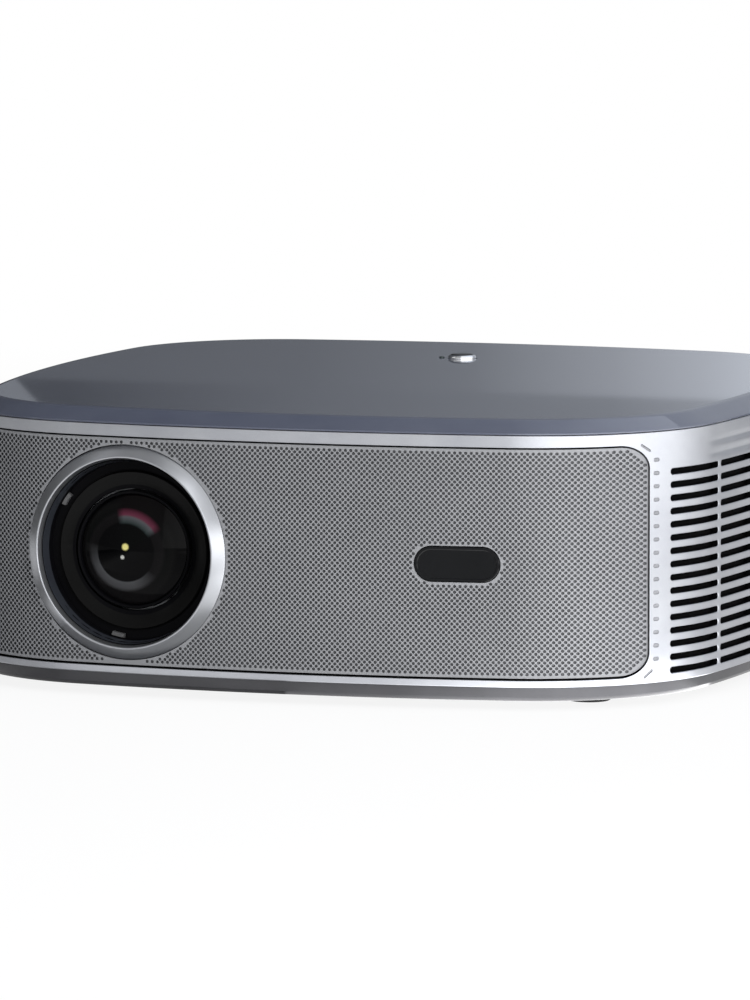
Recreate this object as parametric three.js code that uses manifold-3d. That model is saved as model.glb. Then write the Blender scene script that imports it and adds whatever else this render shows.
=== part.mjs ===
// A home projector: square plan with round corners, silver middle frame, perforated front, top cover
// with a bevelled rim, and inside it the lens with its focus gears, the optical engine, the cooling,
// the boards and the speakers. Millimetres. X is to the right seen from the front, Y goes to the back,
// Z is up, and the origin is under the middle of the feet.

import * as THREE from 'three';
import { mergeVertices } from 'three/addons/utils/BufferGeometryUtils.js';
import Module from 'manifold-3d';

const wasm = await Module();
wasm.setup();

// Driving dimensions of the body
const WIDTH = 290;
const DEPTH = 290;
const CORNER_RADIUS = 70;
const SIDE_BOW = 19.8;
const FOOT_HEIGHT = 3.5;
const BASE_HEIGHT = 5.1;
const FRAME_HEIGHT = 88.3;
const COVER_RISE = 4.8;
const BEVEL_WIDTH = 8.9;

// Shared fits
const GAP = 0.3;
const OVERRUN = 5;
const SHEET = 1.6;

// Shell
const WALL = 2.5;
const FLOOR_THICKNESS = 2.5;
const BASE_INSET = 2.4;
const BASE_CHAMFER = 1.2;
const FLANGE_WIDTH = 9;
const FLANGE_THICKNESS = 2;
const COVER_THICKNESS = 2.2;
const COVER_EDGE = 0.5;
const COVER_LIP_DEPTH = 3;
const COVER_LIP_THICKNESS = 1.8;

// Front opening, grille and carrier
const OPENING_SIDE_MARGIN = 20.2;
const OPENING_SILL = 2.3;
const OPENING_HEAD = 4.3;
const OPENING_RADIUS = 8.4;
const GRILLE_GAP = 0.4;
const GRILLE_RECESS = 1;
const GRILLE_THICKNESS = 1.5;
const CARRIER_THICKNESS = 2;
const CARRIER_WINDOW_RADIUS = 4;

// Vent slots and dimples
const SLOT_ROWS = 16;
const SLOT_COLUMNS = 3;
const SLOT_PITCH = 4.66;
const SLOT_SILL = 3.8;
const SLOT_HEIGHT = 2.1;
const SLOT_LENGTH = 31;
const SLOT_RIB = 2;
const SLOT_PAST_CORNER = 26.5;
const DIMPLE_MARGIN = 2.2;
const DIMPLE_RADIUS = 0.9;
const DIMPLE_DEPTH = 0.7;
const SCREEN_THICKNESS = 0.6;

// Feet, screws and thread insert
const FOOT_MARGIN = 46;
const FOOT_RADIUS = 8;
const FOOT_POCKET_DEPTH = 1;
const BOSS_RADIUS = 9.6;
const SCREW_HEAD_RADIUS = 2.9;
const SCREW_HEAD_HEIGHT = 2.1;
const SCREW_SHANK_RADIUS = 1.4;
const SCREW_LENGTH = 11;
const POST_RADIUS = 4.5;
const POST_HEIGHT = 10.5;
const GUSSET_WIDTH = 8;
const INSERT_RADIUS = 5;
const INSERT_BORE = 3.2;
const INSERT_Y = 20;
const INSERT_BOSS_RADIUS = 8;
const INSERT_HEIGHT = 10;

// Air slots in the bottom case's floor
const FLOOR_VENTS = 9;
const FLOOR_VENT_LENGTH = 46;
const FLOOR_VENT_WIDTH = 3;
const FLOOR_VENT_PITCH = 8;
const FLOOR_VENT_X = 30;
const FLOOR_VENT_Y = 50;

// Lens group, measured from the point where its axis meets the front surface
const LENS_FROM_SIDE = 86.4;
const LENS_RISE = 42.8;
const BEZEL_RADIUS = 37.9;
const BEZEL_BORE = 32.2;
const BEZEL_LIP = 1.2;
const BEZEL_RISE = 1.5;
const BEZEL_BACK = 2.4;
const HOOD_RIM = 0.6;
const HOOD_WALL = 1;
const HOOD_STEP_ONE = 27;
const HOOD_STEP_ONE_DEPTH = 6;
const HOOD_STEP_LEDGE = 1.2;
const HOOD_BACK_DEPTH = 12;
const HOOD_SEAT_DEPTH = 4.5;
const HOOD_NECK_DEPTH = 9.5;
const HOOD_NECK_RADIUS = 28.5;
const BARREL_RADIUS = 21;
const BARREL_WALL = 1.3;
const BARREL_FRONT = 9.5;
const BARREL_LENGTH = 28.5;
const BARREL_SEAT = 6.6;
const BARREL_STOP_WIDTH = 2.2;
const FRONT_GLASS_EDGE = 4.2;
const FRONT_GLASS_CROWN = 3.2;
const TUBE_WALL = 2;
const TUBE_FRONT = 14;
const TUBE_STOP = 41;
const TUBE_STOP_THICKNESS = 2;
const TUBE_STOP_BORE = 17.5;
const TUBE_SHOULDER = 34.3;
const TUBE_SHOULDER_RADIUS = 26;
const REAR_GLASS_THICKNESS = 5.5;
const REAR_GLASS_CROWN = 1.8;
const TUBE_BACK = 51;
const GEAR_MODULE = 1.4;
const RING_TEETH = 40;
const PINION_TEETH = 8;
const RING_PHASE_SHARE = 0.5;
const GEAR_WIDTH = 7.5;
const TOOTH_TIP = 0.75;
const TOOTH_ROOT = 1.1;
const PINION_BORE = 1.2;
const MOTOR_RADIUS = 7;
const MOTOR_FRONT = 36;
const MOTOR_SHAFT_RADIUS = 0.9;

// Optical engine behind the lens
const ENGINE_LEFT = 40;
const ENGINE_RIGHT = 46.5;
const ENGINE_LENGTH = 82;
const ENGINE_HALF_HEIGHT = 30;
const ENGINE_WALL = 3;
const ENGINE_LID = 2.5;
const ENGINE_LEG_RADIUS = 4;
const ENGINE_LEG_INSET = 8;
const LIGHT_BORE = 15;
const PRISM_SIZE = 24;
const PRISM_BACK = 30;
const CHIP_SIZE = 20;
const CHIP_BOARD_WIDTH = 60;
const CHIP_BOARD_HEIGHT = 44;
const CHIP_SINK_SIZE = 40;
const CHIP_SINK_DEPTH = 14;
const CHIP_SINK_FINS = 8;
const FIN_THICKNESS = 1.2;
const SINK_BASE = 3;
const LED_BOARD_SIZE = 34;
const LED_DIE_SIZE = 12;
const LED_BASE_THICKNESS = 4;
const LED_FROM_FRONT = 38;

// Heat sink, heat pipes and fans
const PIPE_RADIUS = 3;
const PIPE_BEND = 9;
const PIPE_SPACING = 14;
const PIPE_FLOOR_GAP = 1.6;
const PIPE_END_GAP = 6;
const SINK_WIDTH = 36;
const SINK_LENGTH = 64;
const SINK_HEIGHT = 66;
const SINK_FINS = 10;
const SINK_TO_FAN = 4;
const FAN_SIZE = 70;
const FAN_THICKNESS = 20;
const FAN_BORE = 33;
const FAN_HUB = 14;
const FAN_HUB_DISC = 2.2;
const FAN_STRUTS = 4;
const FAN_STRUT_WIDTH = 3;
const FAN_BOSS = 4;
const FAN_ROTOR_FRONT = 2;
const FAN_ROTOR_BACK = 16.8;
const FAN_CUP_FACE = 3.4;
const FAN_BLADES = 7;
const FAN_BLADE_CHORD = 15;
const FAN_BLADE_THICKNESS = 1.2;
const FAN_BLADE_TIP = 31.7;
const FAN_BLADE_ANGLE = 40;
const FAN_FROM_SIDE = 14.5;
const FAN_FROM_FRONT = 90;
const FAN_FLOOR_GAP = 8;
const CRADLE_LENGTH = 60;
const CRADLE_WIDTH = 8;

// Boards, sockets and rear panel
const BOARD_RISE = 6;
const STANDOFF_RADIUS = 3;
const STANDOFF_INSET = 6;
const MAIN_BOARD_LEFT = -30;
const MAIN_BOARD_RIGHT = 88;
const MAIN_BOARD_DEPTH = 124;
const SUPPLY_LEFT = -90;
const SUPPLY_RIGHT = -34;
const SUPPLY_DEPTH = 100;
const BOARD_FROM_BACK = 17;
const PANEL_HALF_WIDTH = 78;
const PANEL_SILL = 3;
const PANEL_HEIGHT = 32;
const PANEL_WALL = 3;
const PANEL_NICHE = 10;
const PANEL_RADIUS = 4;
const SOCKET_DEPTH = 14;
const SOCKET_WALL = 0.6;
const SOCKETS = 5;
const SOCKET_SPACING = 21;
const SOCKET_FIRST_X = -16;
const VIDEO_WIDTH = 15.2;
const VIDEO_HEIGHT = 6;
const DATA_WIDTH = 13.6;
const DATA_HEIGHT = 7;
const TONGUE_SHARE = 0.3;
const JACK_WIDTH = 8;
const JACK_HEIGHT = 7;
const JACK_BORE = 1.8;
const INLET_X = -62;
const INLET_WIDTH = 22;
const INLET_HEIGHT = 14;
const INLET_DEPTH = 16;
const PIN_RADIUS = 1.2;
const PIN_SPACING = 8;

// Parts on the boards. Each row is a part's middle and its size as shares of the board, and its height
const CAPACITOR_HEIGHT = 22;
const TRANSFORMER_HEIGHT = 26;
const CHIP_HEIGHT = 2.4;
const COIL_HEIGHT = 12;
const PROCESSOR_SINK_SIZE = 38;
const PROCESSOR_SINK_HEIGHT = 14;
const PROCESSOR_SINK_FINS = 9;
const mainBoardShares = [
  [0.3, 0.45, 0.24, 0.22, CHIP_HEIGHT],
  [0.56, 0.5, 0.1, 0.1, CHIP_HEIGHT],
  [0.56, 0.36, 0.1, 0.1, CHIP_HEIGHT],
  [0.78, 0.3, 0.09, 0.12, COIL_HEIGHT],
  [0.9, 0.3, 0.07, 0.09, COIL_HEIGHT],
];
const supplyShares = [
  [0.5, 0.4, 0.5, 0.26, TRANSFORMER_HEIGHT],
  [0.25, 0.12, 0.3, 0.12, CAPACITOR_HEIGHT],
  [0.72, 0.12, 0.24, 0.12, COIL_HEIGHT],
  [0.5, 0.68, 0.6, 0.1, COIL_HEIGHT],
];

// Sensor window and autofocus camera
const WINDOW_FROM_SIDE = 82.1;
const WINDOW_WIDTH = 30;
const WINDOW_HEIGHT = 12.2;
const WINDOW_RECESS = 0.7;
const CAMERA_WIDTH = 22;
const CAMERA_HEIGHT = 9;
const CAMERA_DEPTH = 8;
const CAMERA_LENS_RADIUS = 3.4;

// Power button, its switch and the status light
const BUTTON_X = 0;
const BUTTON_FROM_BACK = 70;
const BUTTON_RADIUS = 5.2;
const BUTTON_PROUD = 1.7;
const BUTTON_TRAVEL = 0.8;
const BUTTON_FLANGE = 0.7;
const BUTTON_FLANGE_THICKNESS = 0.8;
const BUTTON_STEM_RADIUS = 1.7;
const BUTTON_STEM_LENGTH = 0.6;
const LIGHT_X = -7.8;
const LIGHT_RADIUS = 1;
const LIGHT_PROUD = 0.5;
const LIGHT_FLANGE = 0.4;
const SWITCH_SIZE = 6;
const SWITCH_HEIGHT = 3;
const SWITCH_PLUNGER = 1;
const LED_CHIP_HEIGHT = 1.2;
const BUTTON_BOARD_LENGTH = 38;
const BUTTON_BOARD_WIDTH = 12;
const BUTTON_POST_RADIUS = 2.4;

// Speakers
const SPEAKER_FROM_LENS = 72.1;
const SPEAKER_FROM_SIDE = 46.5;
const SPEAKER_WIDTH = 37;
const SPEAKER_HEIGHT = 64;
const SPEAKER_LENGTH = 18.5;
const SPEAKER_WALL = 2;
const SPEAKER_BORE = 16.5;
const SPEAKER_INNER_DEPTH = 9.6;
const SPEAKER_OUTER_DEPTH = 34;
const CONE_DEPTH = 6;
const CONE_THICKNESS = 0.9;
const DOME_RADIUS = 5.5;
const MAGNET_RADIUS = 11;
const SPEAKER_REST_SHARE = 0.6;

// Levels and half sizes worked out from the values above
const HALF_WIDTH = WIDTH / 2;
const HALF_DEPTH = DEPTH / 2;
const BASE_Z = FOOT_HEIGHT;
const FLOOR_Z = BASE_Z + FLOOR_THICKNESS;
const FRAME_Z = BASE_Z + BASE_HEIGHT;
const EDGE_Z = FRAME_Z + FRAME_HEIGHT;
const TOP_Z = EDGE_Z + COVER_RISE;
const OPENING_HALF_WIDTH = HALF_WIDTH - OPENING_SIDE_MARGIN;
const OPENING_BOTTOM_Z = FRAME_Z + OPENING_SILL;
const OPENING_TOP_Z = EDGE_Z - OPENING_HEAD;
const SLOT_FIRST_Z = FRAME_Z + SLOT_SILL;
const DIMPLE_X = OPENING_HALF_WIDTH + DIMPLE_MARGIN;
const FOOT_X = HALF_WIDTH - FOOT_MARGIN;
const FOOT_Y = HALF_DEPTH - FOOT_MARGIN;
const LENS_X = LENS_FROM_SIDE - HALF_WIDTH;
const LENS_Z = FRAME_Z + LENS_RISE;
const FAN_Y = FAN_FROM_FRONT - HALF_DEPTH;
const BOARD_Z = FLOOR_Z + BOARD_RISE;
const BOARD_BACK = HALF_DEPTH - BOARD_FROM_BACK;
const MAIN_BOARD_FRONT = BOARD_BACK - MAIN_BOARD_DEPTH;
const SUPPLY_FRONT = BOARD_BACK - SUPPLY_DEPTH;
const PANEL_BOTTOM_Z = FRAME_Z + PANEL_SILL;
const WINDOW_X = HALF_WIDTH - WINDOW_FROM_SIDE;
const BUTTON_Y = HALF_DEPTH - BUTTON_FROM_BACK;
const SPEAKER_INNER_X = LENS_X + SPEAKER_FROM_LENS;
const SPEAKER_OUTER_X = HALF_WIDTH - SPEAKER_FROM_SIDE;
const SPEAKER_INNER_Y = SPEAKER_INNER_DEPTH - HALF_DEPTH;
const SPEAKER_OUTER_Y = SPEAKER_OUTER_DEPTH - HALF_DEPTH;
const UNDER_TOP_Z = TOP_Z - COVER_THICKNESS;
const FLANGE_Z = FRAME_Z + FLANGE_THICKNESS;
const GRILLE_BACK = GRILLE_RECESS + GRILLE_THICKNESS;
const CARRIER_FRONT = GRILLE_BACK + GAP;
const CARRIER_BACK = CARRIER_FRONT + CARRIER_THICKNESS;
const CARRIER_Z = FLANGE_Z + GAP;
const CARRIER_TOP_Z = EDGE_Z - COVER_LIP_DEPTH - GAP;
const SCREW_END_Z = BASE_Z + FOOT_POCKET_DEPTH + SCREW_LENGTH;
const PIPE_Z = FLOOR_Z + PIPE_FLOOR_GAP + PIPE_RADIUS;
const SINK_Z = PIPE_Z + PIPE_RADIUS + GAP;
const FAN_Z = FLOOR_Z + FAN_FLOOR_GAP;
const FAN_X = HALF_WIDTH - FAN_FROM_SIDE - FAN_THICKNESS;
const SINK_X = FAN_X - SINK_TO_FAN - SINK_WIDTH / 2;
const ENGINE_MIN_X = LENS_X - ENGINE_LEFT;
const ENGINE_MAX_X = LENS_X + ENGINE_RIGHT;
const ENGINE_Z = LENS_Z - ENGINE_HALF_HEIGHT;
const PANEL_PLATE_Y = HALF_DEPTH - PANEL_NICHE - PANEL_WALL;
const SOCKET_Z = BOARD_Z + SHEET + GAP;
const SOCKET_FACE_Y = PANEL_PLATE_Y + PANEL_WALL - GAP;
const SPEAKER_Z = LENS_Z - SPEAKER_HEIGHT / 2;
const BUTTON_BOARD_X = (BUTTON_X + LIGHT_X) / 2;
const BUTTON_FLANGE_Z = UNDER_TOP_Z - GAP - BUTTON_FLANGE_THICKNESS;
const BUTTON_STEM_Z = BUTTON_FLANGE_Z - BUTTON_STEM_LENGTH;
const PLUNGER_Z = BUTTON_STEM_Z - BUTTON_TRAVEL - GAP;
const BUTTON_BOARD_Z = PLUNGER_Z - SWITCH_PLUNGER - SWITCH_HEIGHT - SHEET;

// Facets: how many straight steps stand for each curve
const FACE_STEPS = 3;
const CORNER_STEPS = 7;
const FINE_STEPS = 40;
const ROUND_STEPS = 20;
const SMALL_STEPS = 10;
const FILLET_STEPS = 4;
const DIMPLE_SIDES = 4;

// Materials
const material = (color, roughness, metalness) =>
  new THREE.MeshStandardMaterial({ color, roughness, metalness });
const coverPaint = material(0x6b6e78, 0.25, 0.2);
const silverPaint = material(0xc9cbcf, 0.35, 0.7);
const basePlastic = material(0x47474a, 0.6, 0);
const grilleGrey = material(0x77797f, 0.55, 0.2);
const blackPlastic = material(0x141416, 0.5, 0);
const glossBlack = material(0x1a1a1c, 0.1, 0);
const glass = material(0x2a2a3a, 0.05, 0);
const rubber = material(0x2b2b2b, 0.9, 0);
const steel = material(0xb4b6b8, 0.3, 0.9);
const castMetal = material(0x7d7f82, 0.5, 0.8);
const aluminium = material(0xc2c4c6, 0.35, 0.9);
const copper = material(0xb8734a, 0.3, 0.9);
const brass = material(0xb59a5a, 0.3, 0.9);
const boardGreen = material(0x1f5a3a, 0.5, 0);
const coneGrey = material(0x303033, 0.8, 0);
const chrome = material(0xe6e7ea, 0.1, 1);

const projector = new THREE.Group();
projector.name = 'projector';

// Signed volume of an indexed geometry, negative when its faces point inwards
function signedVolume(geometry) {
  const position = geometry.attributes.position;
  const index = geometry.index;
  const corner = [new THREE.Vector3(), new THREE.Vector3(), new THREE.Vector3()];
  let total = 0;
  for (let i = 0; i < index.count; i += 3) {
    corner.forEach((point, k) => point.fromBufferAttribute(position, index.getX(i + k)));
    total += corner[0].dot(corner[1].clone().cross(corner[2]));
  }
  return total;
}

// The same geometry with shared corners merged, empty triangles dropped and its faces pointing out
function closed(geometry) {
  const bare = geometry.clone();
  bare.deleteAttribute('normal');
  bare.deleteAttribute('uv');
  const merged = mergeVertices(bare);
  const kept = [];
  for (let i = 0; i < merged.index.count; i += 3) {
    const [a, b, c] = [0, 1, 2].map((k) => merged.index.getX(i + k));
    if (a !== b && b !== c && c !== a) kept.push(a, b, c);
  }
  merged.setIndex(kept);
  if (signedVolume(merged) < 0) {
    for (let i = 0; i < kept.length; i += 3) [kept[i], kept[i + 1]] = [kept[i + 1], kept[i]];
    merged.setIndex(kept);
  }
  return merged;
}

function solid(geometry) {
  const shell = closed(geometry);
  const vertProperties = new Float32Array(shell.attributes.position.array);
  const triVerts = new Uint32Array(shell.index.array);
  return new wasm.Manifold(new wasm.Mesh({ numProp: 3, vertProperties, triVerts }));
}

function join(...geometries) {
  return geometries.map(solid).reduce((whole, piece) => whole.add(piece));
}

function cut(body, ...geometries) {
  return geometries.reduce((rest, tool) => rest.subtract(solid(tool)), body);
}

function addMesh(parent, name, shape, paint) {
  let geometry = shape;
  if (!shape.isBufferGeometry) {
    const { vertProperties, triVerts } = shape.getMesh();
    geometry = new THREE.BufferGeometry();
    geometry.setAttribute('position', new THREE.BufferAttribute(vertProperties, 3));
    geometry.setIndex(new THREE.BufferAttribute(triVerts, 1));
  }
  const whole = closed(geometry);
  whole.computeVertexNormals();
  const mesh = new THREE.Mesh(whole, paint);
  mesh.name = name;
  parent.add(mesh);
  return mesh;
}

function addGroup(parent, x, y, z) {
  const group = new THREE.Group();
  group.position.set(x, y, z);
  parent.add(group);
  return group;
}

// A box standing on z, centred on x and y
function block(width, depth, height, x = 0, y = 0, z = 0) {
  return new THREE.BoxGeometry(width, depth, height).translate(x, y, z + height / 2);
}

// A box between two corners
function between(x0, x1, y0, y1, z0, z1) {
  return block(x1 - x0, y1 - y0, z1 - z0, (x0 + x1) / 2, (y0 + y1) / 2, z0);
}

// An upright cylinder standing on z
function post(radius, height, x = 0, y = 0, z = 0, steps = SMALL_STEPS) {
  return new THREE.CylinderGeometry(radius, radius, height, steps)
    .rotateX(Math.PI / 2)
    .translate(x, y, z + height / 2);
}

// A cylinder along Y from y0 to y1
function rod(radius, y0, y1, x = 0, z = 0, steps = ROUND_STEPS) {
  return new THREE.CylinderGeometry(radius, radius, y1 - y0, steps).translate(x, (y0 + y1) / 2, z);
}

// A turned piece about the Y axis from corners given as [radius, y]
function turned(corners, steps = ROUND_STEPS) {
  const profile = corners.map(([radius, y]) => new THREE.Vector2(radius, y));
  const onAxis = corners[0][0] === 0 && corners[corners.length - 1][0] === 0;
  if (!onAxis) profile.push(profile[0].clone());
  return new THREE.LatheGeometry(profile, steps);
}

// Points of a shallow dome on the Y axis, from its edge to its crown
function domePoints(radius, edgeY, crownY, steps) {
  return Array.from({ length: steps + 1 }, (_, k) => {
    const share = 1 - k / steps;
    return [radius * share, crownY + (edgeY - crownY) * share ** 2];
  });
}

// A flat shape drawn in X and Z, extruded along Y from y0 to y1
function frontPrism(shape, y0, y1, curveSegments = FILLET_STEPS) {
  const settings = { depth: y1 - y0, bevelEnabled: false, curveSegments };
  return new THREE.ExtrudeGeometry(shape, settings).rotateX(Math.PI / 2).translate(0, y1, 0);
}

function roundedRectangle(left, right, bottom, top, radius) {
  const shape = new THREE.Shape();
  shape.absarc(right - radius, bottom + radius, radius, -Math.PI / 2, 0);
  shape.absarc(right - radius, top - radius, radius, 0, Math.PI / 2);
  shape.absarc(left + radius, top - radius, radius, Math.PI / 2, Math.PI);
  shape.absarc(left + radius, bottom + radius, radius, Math.PI, Math.PI * 1.5);
  shape.closePath();
  return shape;
}

function pill(width, height, x, y) {
  const [halfWidth, halfHeight] = [width / 2, height / 2];
  return roundedRectangle(x - halfWidth, x + halfWidth, y - halfHeight, y + halfHeight, halfHeight);
}

// A closed skin over rings of points: fanned shut at both ends, or joined end to end
function skin(rings, looped = false) {
  const count = rings[0].length;
  const points = rings.flat();
  const faces = [];
  const bands = looped ? rings.length : rings.length - 1;
  for (let band = 0; band < bands; band += 1) {
    const low = band * count;
    const high = ((band + 1) % rings.length) * count;
    for (let k = 0; k < count; k += 1) {
      const next = (k + 1) % count;
      faces.push(low + k, low + next, high + next, low + k, high + next, high + k);
    }
  }
  if (!looped) {
    [[0, true], [rings.length - 1, false]].forEach(([ring, reversed]) => {
      const middle = rings[ring].reduce((sum, point) => sum.add(point), new THREE.Vector3());
      points.push(middle.divideScalar(count));
      for (let k = 0; k < count; k += 1) {
        const edge = [ring * count + k, ring * count + ((k + 1) % count)];
        if (reversed) edge.reverse();
        faces.push(...edge, points.length - 1);
      }
    });
  }
  const geometry = new THREE.BufferGeometry().setFromPoints(points);
  geometry.setIndex(faces);
  return geometry;
}

// The body's plan: each face is one shallow arc, and each corner a tighter one tangent to both
const faceRadius = (half) => (half ** 2 + SIDE_BOW ** 2) / (2 * SIDE_BOW);
const FRONT_RADIUS = faceRadius(HALF_WIDTH);
const SIDE_RADIUS = faceRadius(HALF_DEPTH);
const frontCentre = new THREE.Vector2(0, FRONT_RADIUS - HALF_DEPTH);
const sideCentre = new THREE.Vector2(HALF_WIDTH - SIDE_RADIUS, 0);

function cornerCentre() {
  const toFront = FRONT_RADIUS - CORNER_RADIUS;
  const toSide = SIDE_RADIUS - CORNER_RADIUS;
  const across = sideCentre.clone().sub(frontCentre);
  const span = across.length();
  const along = (toFront ** 2 - toSide ** 2 + span ** 2) / (2 * span);
  const offset = Math.sqrt(toFront ** 2 - along ** 2);
  const direction = across.divideScalar(span);
  const sideways = new THREE.Vector2(-direction.y, direction.x);
  return frontCentre.clone().addScaledVector(direction, along).addScaledVector(sideways, offset);
}

const corner = cornerCentre();
const frontEndAngle = corner.clone().sub(frontCentre).angle() - 2 * Math.PI;
const sideStartAngle = corner.clone().sub(sideCentre).angle() - 2 * Math.PI;
const SIDE_LENGTH = SIDE_RADIUS * -sideStartAngle;
const SLOT_START = SIDE_LENGTH + SLOT_PAST_CORNER;

function arcPoints(centre, radius, from, to, steps) {
  return Array.from({ length: steps + 1 }, (_, k) => {
    const angle = from + ((to - from) * k) / steps;
    return new THREE.Vector2(Math.cos(angle), Math.sin(angle)).multiplyScalar(radius).add(centre);
  });
}

// From the middle of the front face, round the right front corner, to the middle of the right side
function quarterOutline(inset) {
  return [
    ...arcPoints(frontCentre, FRONT_RADIUS - inset, -Math.PI / 2, frontEndAngle, FACE_STEPS),
    ...arcPoints(corner, CORNER_RADIUS - inset, frontEndAngle, sideStartAngle, CORNER_STEPS).slice(1),
    ...arcPoints(sideCentre, SIDE_RADIUS - inset, sideStartAngle, 0, FACE_STEPS).slice(1),
  ];
}

function outlineRing(inset, z) {
  const quarter = quarterOutline(inset);
  const half = [...quarter, ...quarter.slice(0, -1).reverse().map((p) => new THREE.Vector2(p.x, -p.y))];
  const mirrored = half.slice(1, -1).reverse().map((p) => new THREE.Vector2(-p.x, p.y));
  return [...half, ...mirrored].map((p) => new THREE.Vector3(p.x, p.y, z));
}

// A closed body that follows the plan: levels are [inset, z] from one flat end to the other
function planBody(levels) {
  return skin(levels.map(([inset, z]) => outlineRing(inset, z)));
}

// A closed wall that follows the plan: corners are [inset, z] round its section
function planWall(corners) {
  return skin(corners.map(([inset, z]) => outlineRing(inset, z)), true);
}

function plainWall(outer, inner, bottom, top) {
  return planWall([[outer, bottom], [outer, top], [inner, top], [inner, bottom]]);
}

// Depth of the front surface at a distance x from the middle, inside the front arc
const frontY = (x) => frontCentre.y - Math.sqrt(FRONT_RADIUS ** 2 - x ** 2);

// The lens stands on the front surface, and the engine and the light source follow it
const LENS_Y = frontY(LENS_X);
const LENS_TILT = Math.asin(LENS_X / FRONT_RADIUS);
const ENGINE_FRONT = LENS_Y + TUBE_BACK + GAP;
const ENGINE_BACK = ENGINE_FRONT + ENGINE_LENGTH;
const LED_Y = ENGINE_FRONT + LED_FROM_FRONT;
const PRISM_Y = ENGINE_BACK - PRISM_BACK;

// The point and outward direction of the plan at an arc length from the middle of the right side,
// going towards the front
function sidePoint(length) {
  const onSide = length <= SIDE_LENGTH;
  const angle = onSide
    ? -length / SIDE_RADIUS
    : sideStartAngle - (length - SIDE_LENGTH) / CORNER_RADIUS;
  const out = new THREE.Vector2(Math.cos(angle), Math.sin(angle));
  const centre = onSide ? sideCentre : corner;
  const radius = onSide ? SIDE_RADIUS : CORNER_RADIUS;
  return { point: out.clone().multiplyScalar(radius).add(centre), out };
}

// One vent slot as a straight cutter, on the right side or mirrored to the left
function slotCutter(start, z, side) {
  const half = SLOT_HEIGHT / 2;
  return skin([start, start - SLOT_LENGTH].map((length) => {
    const { point, out } = sidePoint(length);
    return [[WALL, -half], [WALL, half], [-2 * WALL, half], [-2 * WALL, -half]].map(([reach, up]) =>
      new THREE.Vector3(side * (point.x + out.x * reach), point.y + out.y * reach, z + up));
  }));
}

function slotCutters() {
  const cutters = [];
  for (let row = 0; row < SLOT_ROWS; row += 1) {
    for (let column = 0; column < SLOT_COLUMNS; column += 1) {
      const start = SLOT_START - column * (SLOT_LENGTH + SLOT_RIB);
      const z = SLOT_FIRST_Z + row * SLOT_PITCH;
      cutters.push(slotCutter(start, z, 1), slotCutter(start, z, -1));
    }
  }
  return cutters;
}

// Where the plan's corner arc crosses a distance x from the middle
function cornerPlace(x) {
  const across = (x - corner.x) / CORNER_RADIUS;
  const out = new THREE.Vector2(across, -Math.sqrt(1 - across ** 2));
  return { point: out.clone().multiplyScalar(CORNER_RADIUS).add(corner), out };
}

function dimpleCutters() {
  const { point, out } = cornerPlace(DIMPLE_X);
  const cutters = [];
  for (let row = 1; row <= SLOT_ROWS; row += 1) {
    [1, -1].forEach((side) => {
      const dimple = new THREE.CylinderGeometry(DIMPLE_RADIUS, DIMPLE_RADIUS, 2 * DIMPLE_DEPTH, DIMPLE_SIDES);
      dimple.rotateZ(side * (Math.PI / 2 + out.angle()));
      cutters.push(dimple.translate(side * point.x, point.y, SLOT_FIRST_Z + row * SLOT_PITCH));
    });
  }
  return cutters;
}

// Repeats a maker at the four foot places
function atFeet(make) {
  return [[-1, -1], [1, -1], [-1, 1], [1, 1]].map(([sx, sy]) => make(sx * FOOT_X, sy * FOOT_Y));
}

// Bottom case: tray with rim, standoffs, screw bosses, floor vents and the thread insert's boss

function standoffs(left, right, front, back) {
  const xs = [left + STANDOFF_INSET, right - STANDOFF_INSET];
  const ys = [front + STANDOFF_INSET, back - STANDOFF_INSET];
  const height = BOARD_Z - GAP - FLOOR_Z + FLOOR_THICKNESS / 2;
  return xs.flatMap((x) => ys.map((y) =>
    post(STANDOFF_RADIUS, height, x, y, FLOOR_Z - FLOOR_THICKNESS / 2)));
}

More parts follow.
